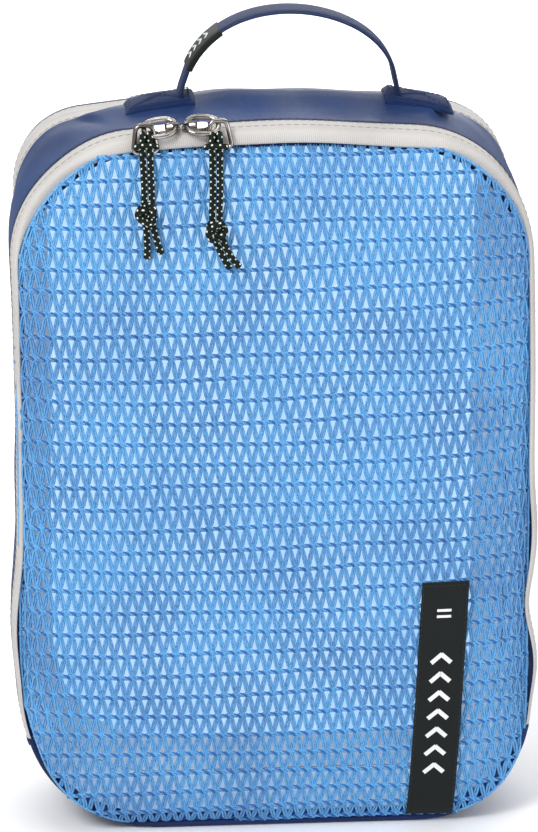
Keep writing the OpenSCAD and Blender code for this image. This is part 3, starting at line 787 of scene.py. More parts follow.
for name, inner, material, slot in (("pleat_cloth", 3.9, M_BINDING, "gusset_fabric"),
                                    ("pleat_lining", 4.3, M_LINING, "lining")):
    pleat = ring_piece(name, OUT, fold_section(inner), material, None, "expansion_pleat", sharp=60)
    tuple(metres([0, 57.4, 0]))
    tuple(metres([0, 64.0, 0]))
    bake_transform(pleat)

rear_section = [(0.5, 69.45), (0.35, 69.7), (0.3, 71.2), (0.4, 72.3), (0.75, 73.0), (1.5, 73.35), (2.4, 73.3),
                (2.2, 72.6), (1.3, 72.2), (1.1, 71.2), (1.1, 69.7), (0.9, 69.45)]
ring_piece("rear_gusset_cloth", OUT, rear_section, M_GUSSET, "rear", "rear_gusset", sharp=50)
stitches("rear_seam_stitches", OUT, 0.35, 70.4, 2.1, 0.7, 0.16, M_THREAD_BLUE, "rear")
rear_bind = [(1.9, 71.95), (2.4, 71.45), (4.4, 71.35), (6.4, 71.45), (6.6, 71.9), (6.4, 72.15), (4.4, 72.2),
             (2.4, 72.2)]
ring_piece("rear_binding_tape", OUT, rear_bind, M_PALE_TAPE, "rear", "rear_binding", sharp=50)


def back_swell(x, z):
    r = np.clip(1 - (np.abs(x) / 86.0) ** 3, 0, 1) * np.clip(1 - (np.abs(z - 122) / 122.0) ** 3, 0, 1)
    soft = 0.45 * np.sin(x / 17.0 + z / 31.0) + 0.35 * np.sin(z / 13.0 - x / 29.0) + 0.2 * np.sin(x / 6.1 + z / 7.7)
    return r ** 0.5 * (1.3 + soft * 0.9)


# a cloth across the whole rear outline: rings that shrink to the middle
BACK_Z = 122.0
rim = place(OUT, [1.6], [73.0])[:, 0]
rings = []
for share in list(np.linspace(1.0, 0.05, 34)):
    x, z = rim[:, 0] * share, BACK_Z + (rim[:, 2] - BACK_Z) * share
    rings.append(np.stack([x, 73.15 + back_swell(x, z), z], 1))
verts = np.vstack(rings + [[[0, 73.15 + back_swell(0, BACK_Z), BACK_Z]]])
m, last = len(rim), len(verts) - 1
faces = grid_faces(len(rings), m, close_m=True).tolist()
faces = [q[::-1] for q in faces + [[last - m + (i + 1) % m, last - m + i, last] for i in range(m)]]
back = mesh_object("back_cloth", verts, faces, M_BACK, "rear", flat_uv(verts, faces), sharp=0)
stands_for(back, "back_panel")


# ---------------------------------------------------------------- the net
PITCH_Z, PITCH_X = 7.6, 4.2
_xs = np.linspace(-NET_A - 6, NET_A + 6, 400)
_zs = np.linspace(1.0, BODY_H - 2, 500)
_down = along(np.stack([_zs, net_y(0 * _zs, _zs)], 1))


def row_across(z):
    """Arc length to x along a row, with 0 in the middle."""
    s = along(np.stack([_xs, net_y(_xs, np.full_like(_xs, z))], 1))
    return s - np.interp(0, _xs, s)


def hash01(i, j, k=0):
    v = np.sin(np.asarray(i) * 127.1 + np.asarray(j) * 311.7 + k * 74.7) * 43758.5453
    return v - np.floor(v)


rows = int(_down[-1] / PITCH_Z) + 2
first = 2.2
nodes = {}
for k in range(rows):
    b = first + k * PITCH_Z
    z = float(np.interp(b, _down, _zs)) + max(0, b - _down[-1])
    s = row_across(min(z, BODY_H - 6))
    count = int(s[-1] / PITCH_X)
    i = np.arange(-count, count + 1)
    x = np.interp((i + 0.5 * (k % 2)) * PITCH_X, s, _xs)
    sag = 0.5 * np.sin(x / 23.0 + k * 0.9) + 0.25 * (hash01(i, k) - 0.5) + 0.9 * np.sin(x / 61.0 + 0.6)
    xx = x + 0.22 * (hash01(i, k, 1) - 0.5) + 0.5 * np.sin(z / 27.0 + x / 40.0)
    nodes[k] = (i, xx, z + sag)


def trimmed(a, b, m):
    """A straight run between two places on the net, cut off where the net's edge is sewn in."""
    t = np.linspace(0, 1, 9)
    x, z = a[0] + (b[0] - a[0]) * t, a[1] + (b[1] - a[1]) * t
    ok = inset(x, z) > net_limit(x, z)
    if not ok.any():
        return None
    lo, hi = t[ok][0], t[ok][-1]
    if hi - lo < 0.2:
        return None
    t = np.linspace(lo, hi, m)
    return np.stack([a[0] + (b[0] - a[0]) * t, a[1] + (b[1] - a[1]) * t, t], 1)


M_DIAG = 5
strands = []
for k in range(rows - 1):
    i0, x0, z0 = nodes[k]
    i1, x1, z1 = nodes[k + 1]
    look = {int(v): n for n, v in enumerate(i1)}
    for n, i in enumerate(i0):
        for step in ((0, 1) if k % 2 else (-1, 0)):
            j = look.get(int(i) + step)
            if j is None:
                continue
            a, b = (x0[n], z0[n]), (x1[j], z1[j])
            way = 1.0 if b[0] > a[0] else -1.0
            run = trimmed(a, b, M_DIAG)
            if run is None:
                continue
            x, z, t = run.T
            d = unit(np.array([b[0] - a[0], b[1] - a[1]]))
            side = np.array([d[1], -d[0]])
            base = net_soft(x, z) + 0.5
            for f in (-1, 1):
                spread = f * (0.36 * np.sin(math.pi * np.clip(t * 1.15 - 0.07, 0, 1)) ** 0.6 + 0.1)
                bow = 0.13 * way * np.sin(2 * math.pi * t)
                px = x + side[0] * (spread + bow)
                pz = z + side[1] * (spread + bow)
                py = base - 0.12 * f * np.cos(math.pi * t) + 0.16 * way * np.sin(math.pi * t)
                strands.append(np.stack([px, py, pz], 1))
v, f = filaments(np.array(strands), 0.4, 4)
uu = np.tile(np.linspace(0, 7.6, M_DIAG), len(strands))
corner = np.stack([uu[np.asarray(f).ravel() // 4], (np.asarray(f).ravel() % 4) * 0.25], 1)
net = mesh_object("net_strands", v, f, M_NET, None, corner, sharp=0)

chains = []
STEP = 5
for k in range(rows):
    i, x, z = nodes[k]
    n = len(x)
    fine = np.linspace(0, n - 1, (n - 1) * STEP + 1)
    fx, fz = np.interp(fine, np.arange(n), x), np.interp(fine, np.arange(n), z)
    ok = inset(fx, fz) > net_limit(fx, fz)
    if ok.sum() < 12:
        continue
    fx, fz, fine = fx[ok], fz[ok], fine[ok]
    base = net_soft(fx, fz) + 0.5
    for c in range(3):
        ph = 2 * math.pi * (fine + c / 3.0 + 0.17)
        knot = 1.35 + 0.6 * np.cos(2 * math.pi * fine)
        chains.append(np.stack([fx + 0.22 * np.sin(2 * ph + c), base + 0.36 * np.cos(ph) - 0.08,
                                fz + 0.5 * knot * np.sin(ph)], 1))


def yarns(name, lines, radius, material):
    parts = []
    for line in lines:
        verts, quads = filaments(line[None], radius, 4)
        q = quads.ravel()
        parts.append((verts, quads, np.stack([q // 4 * 0.8, (q % 4) * 0.25], 1)))
    verts, quads, uv = joined(parts)
    return mesh_object(name, verts, quads, material, None, uv, sharp=0)


net_chain = yarns("net_chains", [c for n, c in enumerate(chains) if n % 3 != 2], 0.42, M_NET)
# every third chain filament is in the darker yarn, as painted shade round the knots
net_painted_shade_yarn = yarns("net_painted_shade_yarn", [c for n, c in enumerate(chains) if n % 3 == 2], 0.4, M_NET_PAINTED_SHADE)

# the outermost thread, which gathers the net's cut edge all round
edge_inset = net_limit(OUT["p"][:, 0], OUT["p"][:, 1]) + 0.25
for _ in range(6):
    edge_inset = (np.roll(edge_inset, 1) + edge_inset + np.roll(edge_inset, -1)) / 3
ex, ez = (OUT["p"] - OUT["n"] * edge_inset[:, None]).T
edge_line = np.stack([ex, net_soft(ex, ez) + 0.35, ez], 1)
edge = tubes_object("net_edge_thread", [tube(edge_line, 0.42, 6, closed=True)], M_NET, None)


def turns_with_lid(o):
    """Bakes a piece's placement into its mesh."""
    tuple(metres([0, 1.5, 2.0]))
    tuple(metres([0, 1.5, 34.0]))
    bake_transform(o)
    return o


for o in (net, net_chain, net_painted_shade_yarn, edge):
    turns_with_lid(stands_for(o, "lid_net"))

# ---------------------------------------------------------------- the label
LABEL_TOP, LABEL_FOOT, LABEL_W, LABEL_LENGTH = np.array([58.0, 93.0]), np.array([54.0, 3.6]), 16.4, 87.5


def label_point(s, t, lift):
    """s from -1 to 1 across, t from 0 at the foot to 1 at the top, lift in front of the net in millimetres."""
    s, t = np.broadcast_arrays(np.asarray(s, float), np.asarray(t, float))
    cx = LABEL_FOOT[0] + (LABEL_TOP[0] - LABEL_FOOT[0]) * t
    z = LABEL_FOOT[1] + (LABEL_TOP[1] - LABEL_FOOT[1]) * t
    x = cx + s * LABEL_W / 2
    wave = 0.25 * np.sin(t * 15 + s * 1.2) * np.sin(math.pi * t)
    y = net_y(cx, z) * 0.75 + net_y(x, z) * 0.25 - 0.75 - wave - lift
    z = z - 0.55 * (1 - s) * (t - 0.5) * 0.3
    return np.stack([x, np.minimum(y, net_y(x, z) - 0.35 - lift), z], -1)


def label_plate(s, t, top, low):
    """A closed piece over a grid of places on the label, between two heights."""
    verts, faces = two_faced(label_point(s, t, top), label_point(s, t, low))
    return verts, faces, flat_uv(verts, faces)


def label_piece(name, parts, material):
    verts, faces, uv = joined(parts)
    o = mesh_object(name, verts, faces, material, None, uv, sharp=40)
    return turns_with_lid(stands_for(o, "front_label"))


places = np.meshgrid(np.linspace(-1, 1, 9), np.linspace(0, 1, 60), indexing="ij")
label = label_piece("label_cloth", [label_plate(*places, 0.4, 0.0)], M_LABEL)


def bar(s0, t0, s1, t1, width, lift=0.42, thick=0.16, m=8):
    """A raised woven stroke from one place on the label to another; width in millimetres."""
    size = np.array([LABEL_W / 2, LABEL_LENGTH])
    a, b = np.array([s0, t0]) * size, np.array([s1, t1]) * size
    d = unit(b - a)
    half = np.array([-d[1], d[0]]) * width / 2
    line = a + (b - a) * np.linspace(0, 1, m)[:, None]
    grid = np.stack([line - half, line + half]) / size
    return label_plate(grid[..., 0], grid[..., 1], lift + thick, lift - 0.1)


strokes = []
for n in range(7):
    t = 0.2 + n * 0.078
    strokes += [bar(-0.42, t, 0.02, t + 0.036, 1.5), bar(-0.02, t + 0.036, 0.42, t, 1.5)]
strokes += [bar(-0.3, 0.86, 0.3, 0.86, 0.9), bar(-0.3, 0.885, 0.3, 0.885, 0.9)]
label_piece("label_mark", strokes, M_MARK)
ends = [(s, 0.02 + n * 0.0243, s, 0.036 + n * 0.0243) for s in (-0.93, 0.93) for n in range(40)]
ends += [(-0.88 + n * 0.2, 0.985, -0.75 + n * 0.2, 0.985) for n in range(9)]
label_piece("label_stitches", [bar(*e, 0.28, 0.36, 0.14, 4) for e in ends], M_THREAD_DARK)

# ---------------------------------------------------------------- the handle
def ribbon(p, widths, thick, crown, across=9):
    """Webbing along a line, lying across the depth: (verts, faces, uv); its two edges are rounded."""
    n = len(p)
    t = unit(np.gradient(p, axis=0))
    side = unit(np.array([0, 1.0, 0]) - t * t[:, 1:2])
    up = np.cross(t, side)
    s = np.linspace(-1, 1, across)
    h, bulge = thick / 2 * np.sqrt(np.clip(1 - np.abs(s) ** 10, 0.06, 1)), crown * (1 - s ** 2)
    sec = np.vstack([np.stack([s, bulge + h], 1), np.stack([s, bulge - h], 1)[::-1]])
    verts = (p[:, None] + side[:, None] * (sec[None, :, 0:1] * widths[:, None, None] / 2)
             + up[:, None] * sec[None, :, 1:2])
    m = len(sec)
    faces = grid_faces(n, m, close_m=True).tolist()
    w = float(widths.max())
    uv = grid_uv(along(p), np.concatenate([(s + 1) / 2 * w, (1 - s) / 2 * w + 0.3, [0.0]])).tolist()
    faces += [list(range(m - 1, -1, -1)), list(range((n - 1) * m, n * m))]
    return verts.reshape(-1, 3), faces, uv + [[0.0, 0.0]] * (2 * m)


# the middle of the strap, from its left foot to its right foot, on the stiff arch's frame
a = np.linspace(math.pi, 0, 72)
arch = np.stack([36.5 * np.cos(a) * (1 + 0.02 * np.sin(a * 2)), 0 * a + HANDLE_Y, 3.8 + 29.1 * np.sin(a) ** 0.92], 1)
foot = np.array([[37.6, HANDLE_Y, 0.6], [37.2, HANDLE_Y, 1.9], [36.8, HANDLE_Y, 3.4]])
left_in = foot * [-1, 1, 1] + [0, 0, rough_top(-30, HANDLE_Y)]
right_in = foot[::-1] + [0, 0, rough_top(45, HANDLE_Y)]
line = spline(np.vstack([left_in, arch[6:-6], right_in]), 2)
s = np.linspace(0, 1, len(line))
width = WEB_W - 1.6 * (smooth_step(0.12, 0.02, s) + smooth_step(0.88, 0.98, s))
line[:, 1] += 0.5 * np.sin(s * math.pi * 2.2)
v, f, uv = ribbon(at_top(HANDLE_X, line), width, 1.45, 0.18)
strap = stands_for(mesh_object("handle_webbing", v, f, M_WEB, None, uv, sharp=50), "handle_strap")
tuple(metres([7.5, HANDLE_Y, 252.0]))
tuple(metres([7.5, HANDLE_Y, 262.0]))
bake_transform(strap)

# stitched feet: a second layer of webbing over the strap's end
FOOT_X, FOOT_Y = 12.0, 8.0
BOX_X, BOX_Y, CROSS_X, CROSS_Y = 0.86, 0.8, 0.8, 0.75
SEAMS = (((-BOX_X, -BOX_Y), (BOX_X, -BOX_Y)), ((BOX_X, -BOX_Y), (BOX_X, BOX_Y)), ((BOX_X, BOX_Y), (-BOX_X, BOX_Y)),
         ((-BOX_X, BOX_Y), (-BOX_X, -BOX_Y)), ((-CROSS_X, -CROSS_Y), (CROSS_X, CROSS_Y)),
         ((-CROSS_X, CROSS_Y), (CROSS_X, -CROSS_Y)))


def puff(s, t):
    """How far the layer stands up, falling away at its edges."""
    return 1.55 * (1 - np.abs(s) ** 12) * (1 - np.abs(t) ** 10) ** 0.5


def anchor(name, x0, node):
    s, t = np.meshgrid(np.linspace(-1, 1, 25), np.linspace(-1, 1, 15), indexing="ij")
    u = s * FOOT_X
    scallop = 0.45 * np.abs(np.sin(u / 24.0 * math.pi * 6)) * (t < -0.99)
    y = HANDLE_Y + t * FOOT_Y - scallop
    base = np.array([[rough_top(x0 + 0.999 * uu, yy) for uu, yy in zip(a, b)] for a, b in zip(u, y)])
    stands, inner = puff(s, t), np.abs(s) < 0.8
    dent = 0.32 * (bump(np.abs(s), BOX_X, 0.05) + bump(np.abs(t), BOX_Y, 0.07)
                   + bump(s - t, 0, 0.09) * inner + bump(s + t, 0, 0.09) * inner)
    top = base + 0.35 + stands - dent * (stands > 0.8) + 0.12 * np.sin(u / 3.0 + t * 2) + 1.1 * smooth_step(-1, 1, t)
    verts, faces = two_faced(np.stack([u, y, top], -1), np.stack([u, y, base - 0.25], -1), flip=True)
    o = mesh_object(name, at_top(x0, verts), faces, M_WEB, "case", flat_uv(verts, faces, 0, 1), sharp=45)
    stands_for(o, node)
    # stitching: a box with a cross in it
    lines = []
    for a, b in SEAMS:
        a, b = np.array(a, float), np.array(b, float)
        count = max(2, int(np.linalg.norm((b - a) * [FOOT_X, FOOT_Y]) / 1.75))
        for q in range(count):
            c, d = a + (b - a) * (q / count), a + (b - a) * ((q + 0.75) / count)
            e = np.linspace(0, 1, 5)
            si, ti = (c + (d - c) * e[:, None]).T
            ground = np.array([rough_top(x0 + i * FOOT_X, HANDLE_Y + j * FOOT_Y) for i, j in zip(si, ti)])
            height = ground + 0.15 + puff(si, ti) + 1.1 * smooth_step(-1, 1, ti) + 0.3 * np.sin(math.pi * e)
            lines.append(at_top(x0, np.stack([si * FOOT_X, HANDLE_Y + ti * FOOT_Y, height], 1)))
    threads(name + "_stitches", lines, 0.17, M_THREAD_BLUE, "case", (0.2, 0.9, 0.4))


anchor("left_foot", HANDLE_X - 44.3, "handle_anchor_left")
anchor("right_foot", HANDLE_X + 44.3, "handle_anchor_right")

# the tag folded round the left leg of the strap
tag_run = spline(arch[3:-3], 2)
rise = tag_run[:, 2] - 3.8
tag_line = tag_run[(rise > 8.6) & (rise < 22.3) & (tag_run[:, 0] < 0)]
t = unit(np.gradient(tag_line, axis=0))
normal = np.stack([-t[:, 2], np.zeros(len(t)), t[:, 0]], 1)
hw, ht = WEB_W / 2 + 0.75, 1.25
a = np.linspace(0, 2 * math.pi, 33)[:-1]
power = lambda v, k: np.sign(v) * np.abs(v) ** k
loop = np.stack([hw * power(np.cos(a), 0.35), ht * power(np.sin(a), 0.6)], 1)
flare = 1 + 0.05 * np.sin(np.linspace(0, math.pi, len(tag_line)))


def tag_shell(sec):
    return (tag_line[:, None] + np.array([0, 1, 0]) * (sec[None, :, 0:1] * flare[:, None, None])
            + normal[:, None] * sec[None, :, 1:2])


outer, inside = tag_shell(loop), tag_shell(loop * np.array([(hw - 0.35) / hw, (ht - 0.35) / ht]))
n, m = outer.shape[:2]
verts = np.vstack([outer.reshape(-1, 3), inside.reshape(-1, 3)])
wall = grid_faces(n, m, close_m=True)
faces = wall.tolist() + (wall[:, ::-1] + n * m).tolist()
for r in (0, n - 1):
    for j in range(m):
        a, b = r * m + j, r * m + (j + 1) % m
        q = [a, b, b + n * m, a + n * m]
        faces.append(q if r else q[::-1])
tag = mesh_object("handle_tag_cloth", at_top(HANDLE_X, verts), faces, M_LABEL, "handle",
                  flat_uv(verts, faces, 1, 2), sharp=50)
stands_for(tag, "handle_tag")
lines = []
e = np.linspace(0, 1, 5)
for c in range(4):
    k = (0.2 + c * 0.16 + 0.08 * e) * (n - 1)
    base = np.stack([np.interp(k, np.arange(n), tag_line[:, i]) for i in range(3)], 1)
    for s0 in (-0.38, 0.38):
        across = np.stack([0 * e, s0 * (1 - e) * hw, 0 * e], 1)
        lines.append(at_top(HANDLE_X, base + across + normal[k.astype(int)] * (ht + 0.08)))
stands_for(threads("handle_tag_mark", lines, 0.32, M_MARK, "handle", (0.2, 0.3, 0.9)))


# ---------------------------------------------------------------- sliders
def recalc(o):
    """Turns all of a piece's faces outward."""
    bm = bmesh.new()
    bm.from_mesh(o.data)
    bmesh.ops.recalc_face_normals(bm, faces=bm.faces)
    bm.to_mesh(o.data)
    bm.free()
    o.data.update()
    return o


def metal_piece(name, parts, body, node):
    verts, faces, start = [], [], 0
    for v, f in parts:
        verts.append(v)
        faces += [[i + start for i in q] for q in f]
        start += len(v)
    o = mesh_object(name, np.vstack(verts), faces, M_METAL, body, [[0.0, 0.0]] * sum(map(len, faces)), sharp=50)
    return stands_for(recalc(o), node)


RING_TILT, RING_Y, RING_Z, RING_END = math.radians(40), 0.2, 2.7, -1.9
RING_L, RING_W = 10.7, 7.1


def ring_frame(points, end=RING_END):
    """(along, across, out of the ring's plane) about the bridge's wire, to the zip frame."""
    q = np.atleast_2d(np.asarray(points, float))
    c, s = math.cos(RING_TILT), math.sin(RING_TILT)
    return np.stack([end + q[:, 0], RING_Y + q[:, 1] * c - q[:, 2] * s, RING_Z + q[:, 1] * s + q[:, 2] * c], 1)


def slab(outline_xy, z0, z1, r, place_points, steps=3):
    """A plate with a rounded rim: an outline in x and y, extruded from z0 to z1."""
    q = np.asarray(outline_xy, float)
    n = len(q)
    t = unit(np.roll(q, -1, 0) - np.roll(q, 1, 0))
    out = np.stack([t[:, 1], -t[:, 0]], 1)
    if ((q - q.mean(0)) * out).sum() < 0:
        out = -out
    quarter = np.linspace(0, math.pi / 2, steps + 1)
    rings = [np.column_stack([q - out * r * (1 - math.sin(a)), np.full(n, z + way * r * (1 - math.cos(a)))])
             for z, way, turn in ((z0, 1, quarter), (z1, -1, quarter[::-1])) for a in turn]
    verts = np.vstack(rings)
    ends = [list(range(n - 1, -1, -1)), list(range((len(rings) - 1) * n, len(rings) * n))]
    return place_points(verts), grid_faces(len(rings), n, close_m=True).tolist() + ends


def rounded_outline(corners, r, n=5):
    q = [np.array(c, float) for c in corners]
    out = []
    for i, c in enumerate(q):
        a, b = q[i - 1], q[(i + 1) % len(q)]
        u, w = unit(a - c), unit(b - c)
        rr = min(r, 0.49 * np.linalg.norm(a - c), 0.49 * np.linalg.norm(b - c))
        for t in np.linspace(0, 1, n + 1):
            out.append((1 - t) ** 2 * (c + u * rr) + 2 * t * (1 - t) * c + t ** 2 * (c + w * rr))
    return np.array(out)


for side, name in ((-1, "left"), (1, "right")):
    zone = lambda q, s=side: on_zip(s, q)
    droop = math.radians(5 if side < 0 else 7)
    # the slider: two shield-shaped plates, joined by a post
    plate = rounded_outline([(-9.4, 1.3), (-7.9, 0.35), (-1.4, 0.12), (-0.4, 1.6), (-0.4, 7.7), (-1.4, 9.15),
                             (-7.9, 8.9), (-9.4, 8.0)], 1.1)
    lower = rounded_outline([(-9.4, 2.3), (-0.4, 2.2), (-0.4, 9.1), (-9.4, 9.1)], 1.0)
    post = rounded_outline([(-2.15, 5.05), (-1.05, 5.05), (-1.05, 6.15), (-2.15, 6.15)], 0.5)
    parts = [slab(plate, 0.4, 1.3, 0.3, zone), slab(lower, -2.8, -1.9, 0.25, zone), slab(post, -2.4, 0.8, 0.05, zone)]
    # bridge: an arched bar over the plate, on which the ring hangs
    bend = spline([(-5.2, 0, -1.45), (-5.2, 0, 0.2), (-4.95, 0, 1.15), (-4.2, 0, 1.55), (-3.0, 0, 1.6),
                   (-1.8, 0, 1.55), (-1.05, 0, 1.15), (-0.8, 0, 0.2), (-0.8, 0, -1.45)], 4)
    for line, radius in ((bend, 0.42), ([(-5.25, 0, -1.15), (-3, 0, -1.2), (-0.75, 0, -1.15)], 0.52)):
        v, f, _ = tube(line, radius, 12)
        parts.append((zone(ring_frame(v, end=0)), f.tolist()))
    metal_piece("slider_body_" + name, parts, "zip_slider_" + name, "slider_" + name)

    # the oval ring, of formed wire that is fuller than a true oval at its shoulders
    a = np.linspace(0, 2 * math.pi, 49)[:-1]
    full = lambda v: np.sign(v) * np.abs(v) ** 0.8
    x, y = RING_L / 2 * (full(np.cos(a)) - 1), RING_W / 2 * full(np.sin(a))
    c, s = math.cos(droop), math.sin(droop)
    loop = np.stack([x * c - y * s, x * s + y * c, 0 * a], 1)
    v, f, uv = tube(loop, 0.9, 16, closed=True)
    o = mesh_object("wire_ring_" + name, zone(ring_frame(v)), f, M_METAL, "pull_ring_" + name, uv, sharp=0)
    stands_for(recalc(o), "ring_" + name)

    # the trapezoid link, bent from one wire with soft corners
    drop = RING_L * math.sin(droop)
    lean = math.radians(10)
    lx = RING_END - RING_L + 0.1
    flat = rounded_outline([(-2.7, 0), (2.7, 0), (4.2, 9.2), (-4.2, 9.2)], 2.1, 9)
    path = np.stack([lx + flat[:, 0], 0.1 - flat[:, 1] * math.sin(lean) - drop * math.cos(RING_TILT),
                     4.5 - flat[:, 1] * math.cos(lean) - drop * math.sin(RING_TILT)], 1)
    v, f, uv = tube(path, 0.82, 16, closed=True)
    o = mesh_object("wire_link_" + name, zone(v), f, M_METAL, "pull_" + name, uv, sharp=0)
    stands_for(recalc(o), "link_" + name)

# ---------------------------------------------------------------- pull cords
LEFT = [[-44.7, -4.1, 247.4], [-44.7, -4.8, 242], [-44.6, -6.2, 237.5], [-44.5, -8.2, 232.5], [-44.6, -10, 227.5],
        [-44.5, -11.2, 223]]
RIGHT = [[-19, -4.4, 247], [-19, -5.2, 241], [-19.1, -7.4, 235.6], [-19.3, -9.6, 230], [-19.6, -11.4, 224.4],
         [-19.3, -12.7, 219]]
# name: the run down to the knot, how far beside it the strand lies, and its loose end
ROUTES = {
    "left_outer": (LEFT, 0, [[-44.1, -12, 219], [-43.9, -12.4, 214.8], [-44, -12.6, 210.6]]),
    "left_inner": (LEFT, 2.4, [[-41.4, -12, 219], [-40.4, -12.5, 215.4], [-39.4, -12.8, 212.2]]),
    "right_outer": (RIGHT, 0, [[-17.9, -13.5, 214.4], [-15.7, -14, 210.4], [-13.3, -14.3, 207.4]]),
    "right_inner": (RIGHT, -2.4, [[-20.3, -13.5, 214.2], [-18.3, -14, 210.2], [-16.5, -14.3, 207]]),
}
cords = {}
for name, (run, beside, end) in ROUTES.items():
    line = spline((np.array(run) + [beside, 0, 0]).tolist() + end, 8)
    # the braid swells and narrows a little, and its cut end frays open
    s = along(line)
    length = float(s[-1])
    r = CORD_D / 2 * (1 + 0.035 * np.sin(s * 2.9) + 0.09 * smooth_step(length - 2.5, length, s))
    v, f, uv = tube(line, r, 14)
    o = mesh_object("braid_" + name, v, f, M_CORD, "pull_" + name.split("_")[0], uv, sharp=60)
    cords[name] = (stands_for(o, "cord_" + name), line, length)


def wraps(name, centre, turns, node, body):
    """A knot or hitch: rounds of the same cord, each a smooth closed or open line about its middle."""
    lines = [(spline(np.asarray(pts, float) + np.array(centre), 7, closed=closed), closed) for pts, closed in turns]
    o = tubes_object(name, [tube(line, 1.06, 12, closed=closed) for line, closed in lines], M_CORD, body)
    return stands_for(o, node)


def knot_turns(k, turn):
    """A three-lobed overhand knot, squeezed to the size of k millimetres and turned about the depth axis."""
    t = np.linspace(0, 2 * math.pi, 25)[:-1]
    x, z = (np.sin(t) + 2 * np.sin(2 * t)) / 3.0, (np.cos(t) - 2 * np.cos(2 * t)) / 3.0
    c, s = math.cos(turn), math.sin(turn)
    return np.stack([(x * c - z * s) * k, -np.sin(3 * t) * 0.55 * k * 0.95, (x * s + z * c) * k * 1.08], 1)


over_left = [(-1.9, -1.0, 3.0), (-3.1, -1.3, 0.6), (-1.6, -2.0, -1.8), (1.2, -1.8, -2.2), (2.6, -0.6, -0.6)]
over_right = [(2.2, -0.8, 2.8), (0.4, -2.0, 2.6), (-2.3, -1.5, 0.9), (-2.2, -1.3, -1.6), (0.3, -1.9, -2.6)]
knot_left = wraps("overhand_left", (-43.9, -12.7, 225.4), [(knot_turns(3.15, 0.5), True), (over_left, False)],
                  "knot_left", "pull_left")
knot_right = wraps("overhand_right", (-20.9, -14.2, 219.6), [(knot_turns(3.05, 1.7), True), (over_right, False)],
                   "knot_right", "pull_right")


def hitch(name, c, node, body):
    """Lark's head on the link's lower bar: two bights over the bar and one round across them."""
    bight = [(1.25, -0.9, -4.6), (1.3, -1.6, -2.4), (1.35, -1.5, 0.2), (1.3, -0.9, 2.9), (1.15, 0.3, 4.4),
             (1.0, 1.4, 3.4), (0.9, 1.6, 0.9)]
    turns = [(np.array(bight) * [s, 1, 1], False) for s in (-1, 1)]
    turns.append(([(-3.3, -0.7, 0.1), (-2.6, -2.1, 0.6), (0.0, -2.9, 1.0), (2.6, -2.1, 0.6), (3.3, -0.7, 0.1),
                   (1.9, 1.2, -0.2), (0, 1.6, 0.0), (-1.9, 1.2, -0.2)], True))
    return wraps(name, c, turns, node, body)


hitch_left = hitch("larks_head_left", (-43.5, -3.2, 246.4), "hitch_left", "pull_left")
hitch_right = hitch("larks_head_right", (-20.2, -3.6, 246.0), "hitch_right", "pull_right")
for name, (o, line, length) in cords.items():
    tuple(metres(line[0]))
    [tuple(q) for q in metres(line)]

# ---------------------------------------------------------------- expansion slider and its tab
SIDE_X, SIDE_Z = HALF_W * REAR_X, 70.0


def on_side(points):
    """x along the zip (up), y back, z out of the right side."""
    q = np.atleast_2d(np.asarray(points, float))
    return np.stack([SIDE_X + q[:, 2], q[:, 1], SIDE_Z + q[:, 0]], 1)


cy = EXP_ZIP_Y
plate = rounded_outline([(-4.5, cy - 2.5), (-3.2, cy - 3.5), (3.1, cy - 3.6), (4.5, cy - 2.2), (4.5, cy + 2.2),
                         (3.1, cy + 3.6), (-3.2, cy + 3.5), (-4.5, cy + 2.5)], 1.0)
post = rounded_outline([(2.85, cy - 0.55), (3.95, cy - 0.55), (3.95, cy + 0.55), (2.85, cy + 0.55)], 0.5)
parts = [slab(plate, 0.62, 1.5, 0.28, on_side), slab(plate, -3.2, -2.3, 0.28, on_side),
         slab(post, -2.8, 1.0, 0.05, on_side)]
bend = spline([(0.55, cy, 1.1), (0.55, cy, 2.6), (0.8, cy, 3.3), (1.5, cy, 3.75), (2.9, cy, 3.75), (3.6, cy, 3.3),
               (3.85, cy, 2.6), (3.85, cy, 1.1)], 4)
v, f, _ = tube(bend, 0.36, 12)
parts.append((on_side(v), f.tolist()))
metal_piece("expansion_slider_body", parts, "rear_slider", "expansion_slider")


def tab_frame(points):
    return on_side(np.asarray(points, float) + np.array([2.2, cy, 2.55]))


eye = rounded_outline([(0.0, -1.8), (0.0, 1.8), (-6.2, 1.8), (-6.2, -1.8)], 0.9)
v, f, uv = tube(np.column_stack([eye, np.zeros(len(eye))]), 0.5, 12, closed=True)
blade = rounded_outline([(-5.4, -1.9), (-5.4, 1.9), (-7.4, 2.4), (-18.8, 2.4), (-20.0, 1.2), (-20.0, -1.2),
                         (-18.8, -2.4), (-7.4, -2.4)], 1.0)
parts = [(tab_frame(v), f.tolist()), slab(blade, -0.5, 0.5, 0.25, tab_frame)]
for x in -9.2 - 1.9 * np.arange(5):
    rib = rounded_outline([(x, -1.7), (x, 1.7), (x - 0.7, 1.7), (x - 0.7, -1.7)], 0.35)
    parts.append(slab(rib, 0.3, 0.68, 0.14, tab_frame))
metal_piece("expansion_tab", parts, "rear_pull", "expansion_pull")

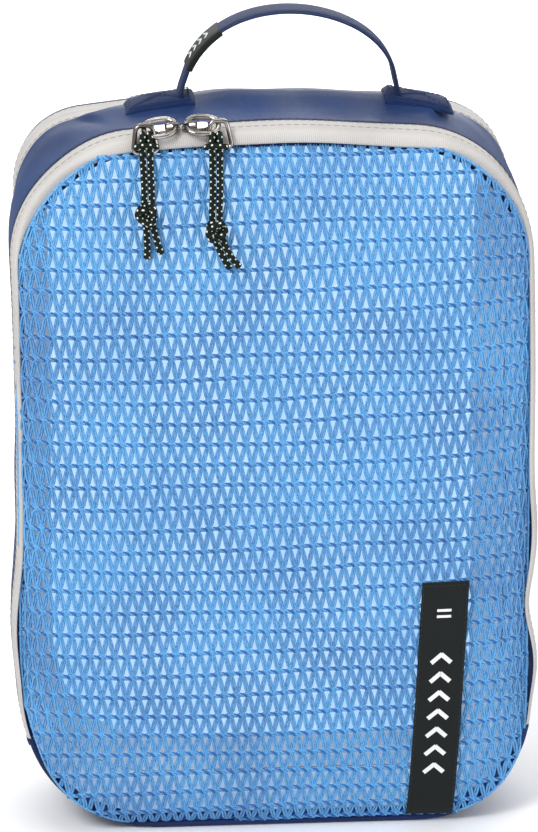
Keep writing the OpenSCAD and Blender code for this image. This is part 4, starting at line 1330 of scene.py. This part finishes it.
# ---------------------------------------------------------------- studio
R_FLOOR = 6.0
ring = [(R_FLOOR * math.cos(a), R_FLOOR * math.sin(a), 0.0) for a in np.linspace(0, 2 * math.pi, 97)[:-1]]
floor = bpy.data.meshes.new("studio_floor")
floor.from_pydata(ring, [], [list(range(96))])
floor.materials.append(Shade("studio_floor").finish(rgb(246, 246, 247), 0.7))
floor.polygons.foreach_set("use_smooth", [True])
put_in("studio_floor", floor)

LIGHTS = (("key", (-0.75, -1.15, 1.25), (0.6, 0.6), 21.0, (1.0, 0.99, 0.97)),
          ("fill", (1.1, -1.1, 0.55), (1.2, 1.0), 7.0, (0.97, 0.985, 1.0)),
          ("top", (0.05, -0.1, 1.5), (1.2, 1.0), 6.0, (1, 1, 1)),
          ("back", (0.1, 1.3, 0.55), (0.9, 0.7), 12.0, (1, 1, 1)))
for name, at, size, power, color in LIGHTS:
    data = bpy.data.lights.new(name, "AREA")
    data.shape = "RECTANGLE"
    data.size, data.size_y = size
    data.energy, data.color = power, color
    o = put_in(name, data)
    o.location = at
    o.rotation_euler = (Vector((0, 0, 0.13)) - Vector(at)).to_track_quat("-Z", "Y").to_euler()

world = bpy.data.worlds.new("studio")
bpy.context.scene.world = world
world.use_nodes = True
world.node_tree.nodes["Background"].inputs[0].default_value = (0.95, 0.97, 1.0, 1)
world.node_tree.nodes["Background"].inputs[1].default_value = 0.5

# ---------------------------------------------------------------- camera, at the photograph's angle
az, el, away = math.radians(-4.4), math.radians(17.0), 1.7
look = Vector(metres([1.0, 40.0, 138.0]).tolist())
back = Vector((math.sin(az) * math.cos(el), -math.cos(az) * math.cos(el), math.sin(el)))
data = bpy.data.cameras.new("photo_view")
data.sensor_width = 36.0
data.sensor_fit = "AUTO"
data.lens = 209.9
data.clip_start, data.clip_end = 0.05, 50
camera = put_in("photo_view", data)
camera.location = look + back * away
camera.rotation_euler = (-back).to_track_quat("-Z", "Y").to_euler()
bpy.context.scene.camera = camera
bpy.context.scene.view_settings.view_transform = "Standard"

bpy.context.view_layer.update()
